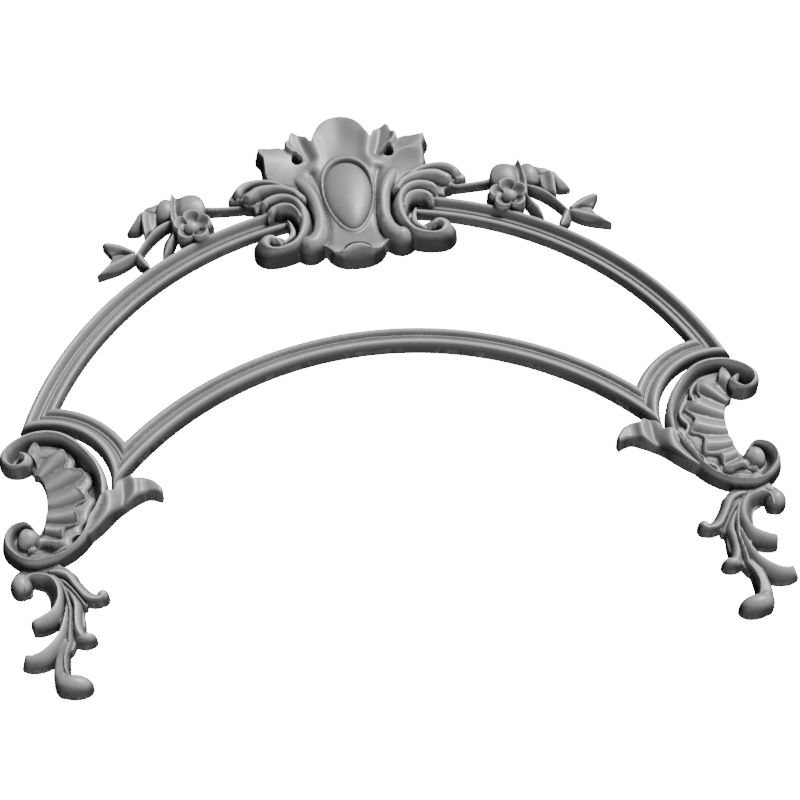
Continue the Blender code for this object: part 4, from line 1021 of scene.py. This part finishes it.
class CREST_OT_carve(Operator):
    """Carve the crest in fine relief and give it its primer"""

    bl_idname = "crest.carve"
    bl_label = "Carve crest"

    def execute(self, context):
        settings = context.scene.crest_settings
        half = carved_half(settings.step)
        to_metres = Matrix.Scale(0.001, 4) @ Matrix.Translation((0, 0, -MOUNT_HEIGHT))
        bmesh.ops.transform(half, matrix=to_metres, verts=half.verts)
        mesh = bpy.data.meshes.new("crest half")
        half.to_mesh(mesh)
        half.free()
        holder = bpy.data.objects.new("crest half", mesh)
        context.scene.collection.objects.link(holder)
        mirror = holder.modifiers.new("Both halves", "MIRROR")
        mirror.merge_threshold = 0.00005
        fewer = holder.modifiers.new("Facets", "DECIMATE")
        flat = sum(len(face.vertices) - 2 for face in mesh.polygons)
        fewer.ratio = min(1.0, settings.triangles / (2 * flat))
        finish = holder.modifiers.new("Hand finish", "NODES")
        finish.node_group = hand_finish_tree()
        material = primer_material(mottle_group(), settings)
        give_inputs(finish, Depth=settings.hand_depth, Scale=settings.hand_scale, Seed=settings.seed,
                    Material=material)
        crest = made_real(holder, "crest_carving")
        # the relief over its surroundings, which the primer turns into painted shade in the hollows and a
        # painted highlight on the crests
        mark_painted_relief_shade(crest.data, settings.step)
        crest.data.shade_smooth()
        crest.data.set_sharp_from_angle(angle=settings.crease_angle)
        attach(crest, "root")
        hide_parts("carved_crest")
        return {"FINISHED"}


class CREST_OT_studio(Operator):
    """Add the floor, the lights and the camera"""

    bl_idname = "crest.studio"
    bl_label = "Set up studio"

    def execute(self, context):
        settings = context.scene.studio_settings
        bpy.ops.mesh.primitive_plane_add(size=settings.floor_size, location=(0, 0, settings.floor_height))
        floor = context.object
        floor.name = "floor"
        floor.data.materials.append(floor_material(bpy.data.node_groups["Mottle"]))
        sun("Key", KEY_DIRECTION, settings.key, settings.key_spread)
        sun("Lower", LOWER_DIRECTION, settings.lower, settings.key_spread)
        white_surround(settings)
        camera = bpy.data.objects.new("Camera", bpy.data.cameras.new("Camera"))
        camera.data.lens = settings.lens
        camera.data.clip_end = 100
        right, up, back = Vector(CAMERA_RIGHT), Vector(CAMERA_UP), Vector(CAMERA_BACK)
        turn = Matrix((right, up, back)).transposed().to_4x4()
        camera.matrix_world = Matrix.Translation(CAMERA_PLACE) @ turn
        context.scene.collection.objects.link(camera)
        context.scene.camera = camera
        return {"FINISHED"}


class CREST_PT_panel(Panel):
    bl_label = "Carved crest"
    bl_idname = "CREST_PT_panel"
    bl_space_type = "VIEW_3D"
    bl_region_type = "UI"
    bl_category = "Crest"

    def draw(self, context):
        layout = self.layout
        for settings in (context.scene.crest_settings, context.scene.studio_settings):
            box = layout.box()
            for name in settings.__annotations__:
                box.prop(settings, name)
        layout.operator("crest.carve")
        layout.operator("crest.studio")


CLASSES = (CrestSettings, StudioSettings, CREST_OT_carve, CREST_OT_studio, CREST_PT_panel)


def register():
    for cls in CLASSES:
        bpy.utils.register_class(cls)
    bpy.types.Scene.crest_settings = PointerProperty(type=CrestSettings)
    bpy.types.Scene.studio_settings = PointerProperty(type=StudioSettings)


def unregister():
    del bpy.types.Scene.studio_settings
    del bpy.types.Scene.crest_settings
    for cls in reversed(CLASSES):
        bpy.utils.unregister_class(cls)


def main():
    register()
    bpy.ops.crest.carve()
    bpy.ops.crest.studio()


if __name__ == "__main__":
    main()
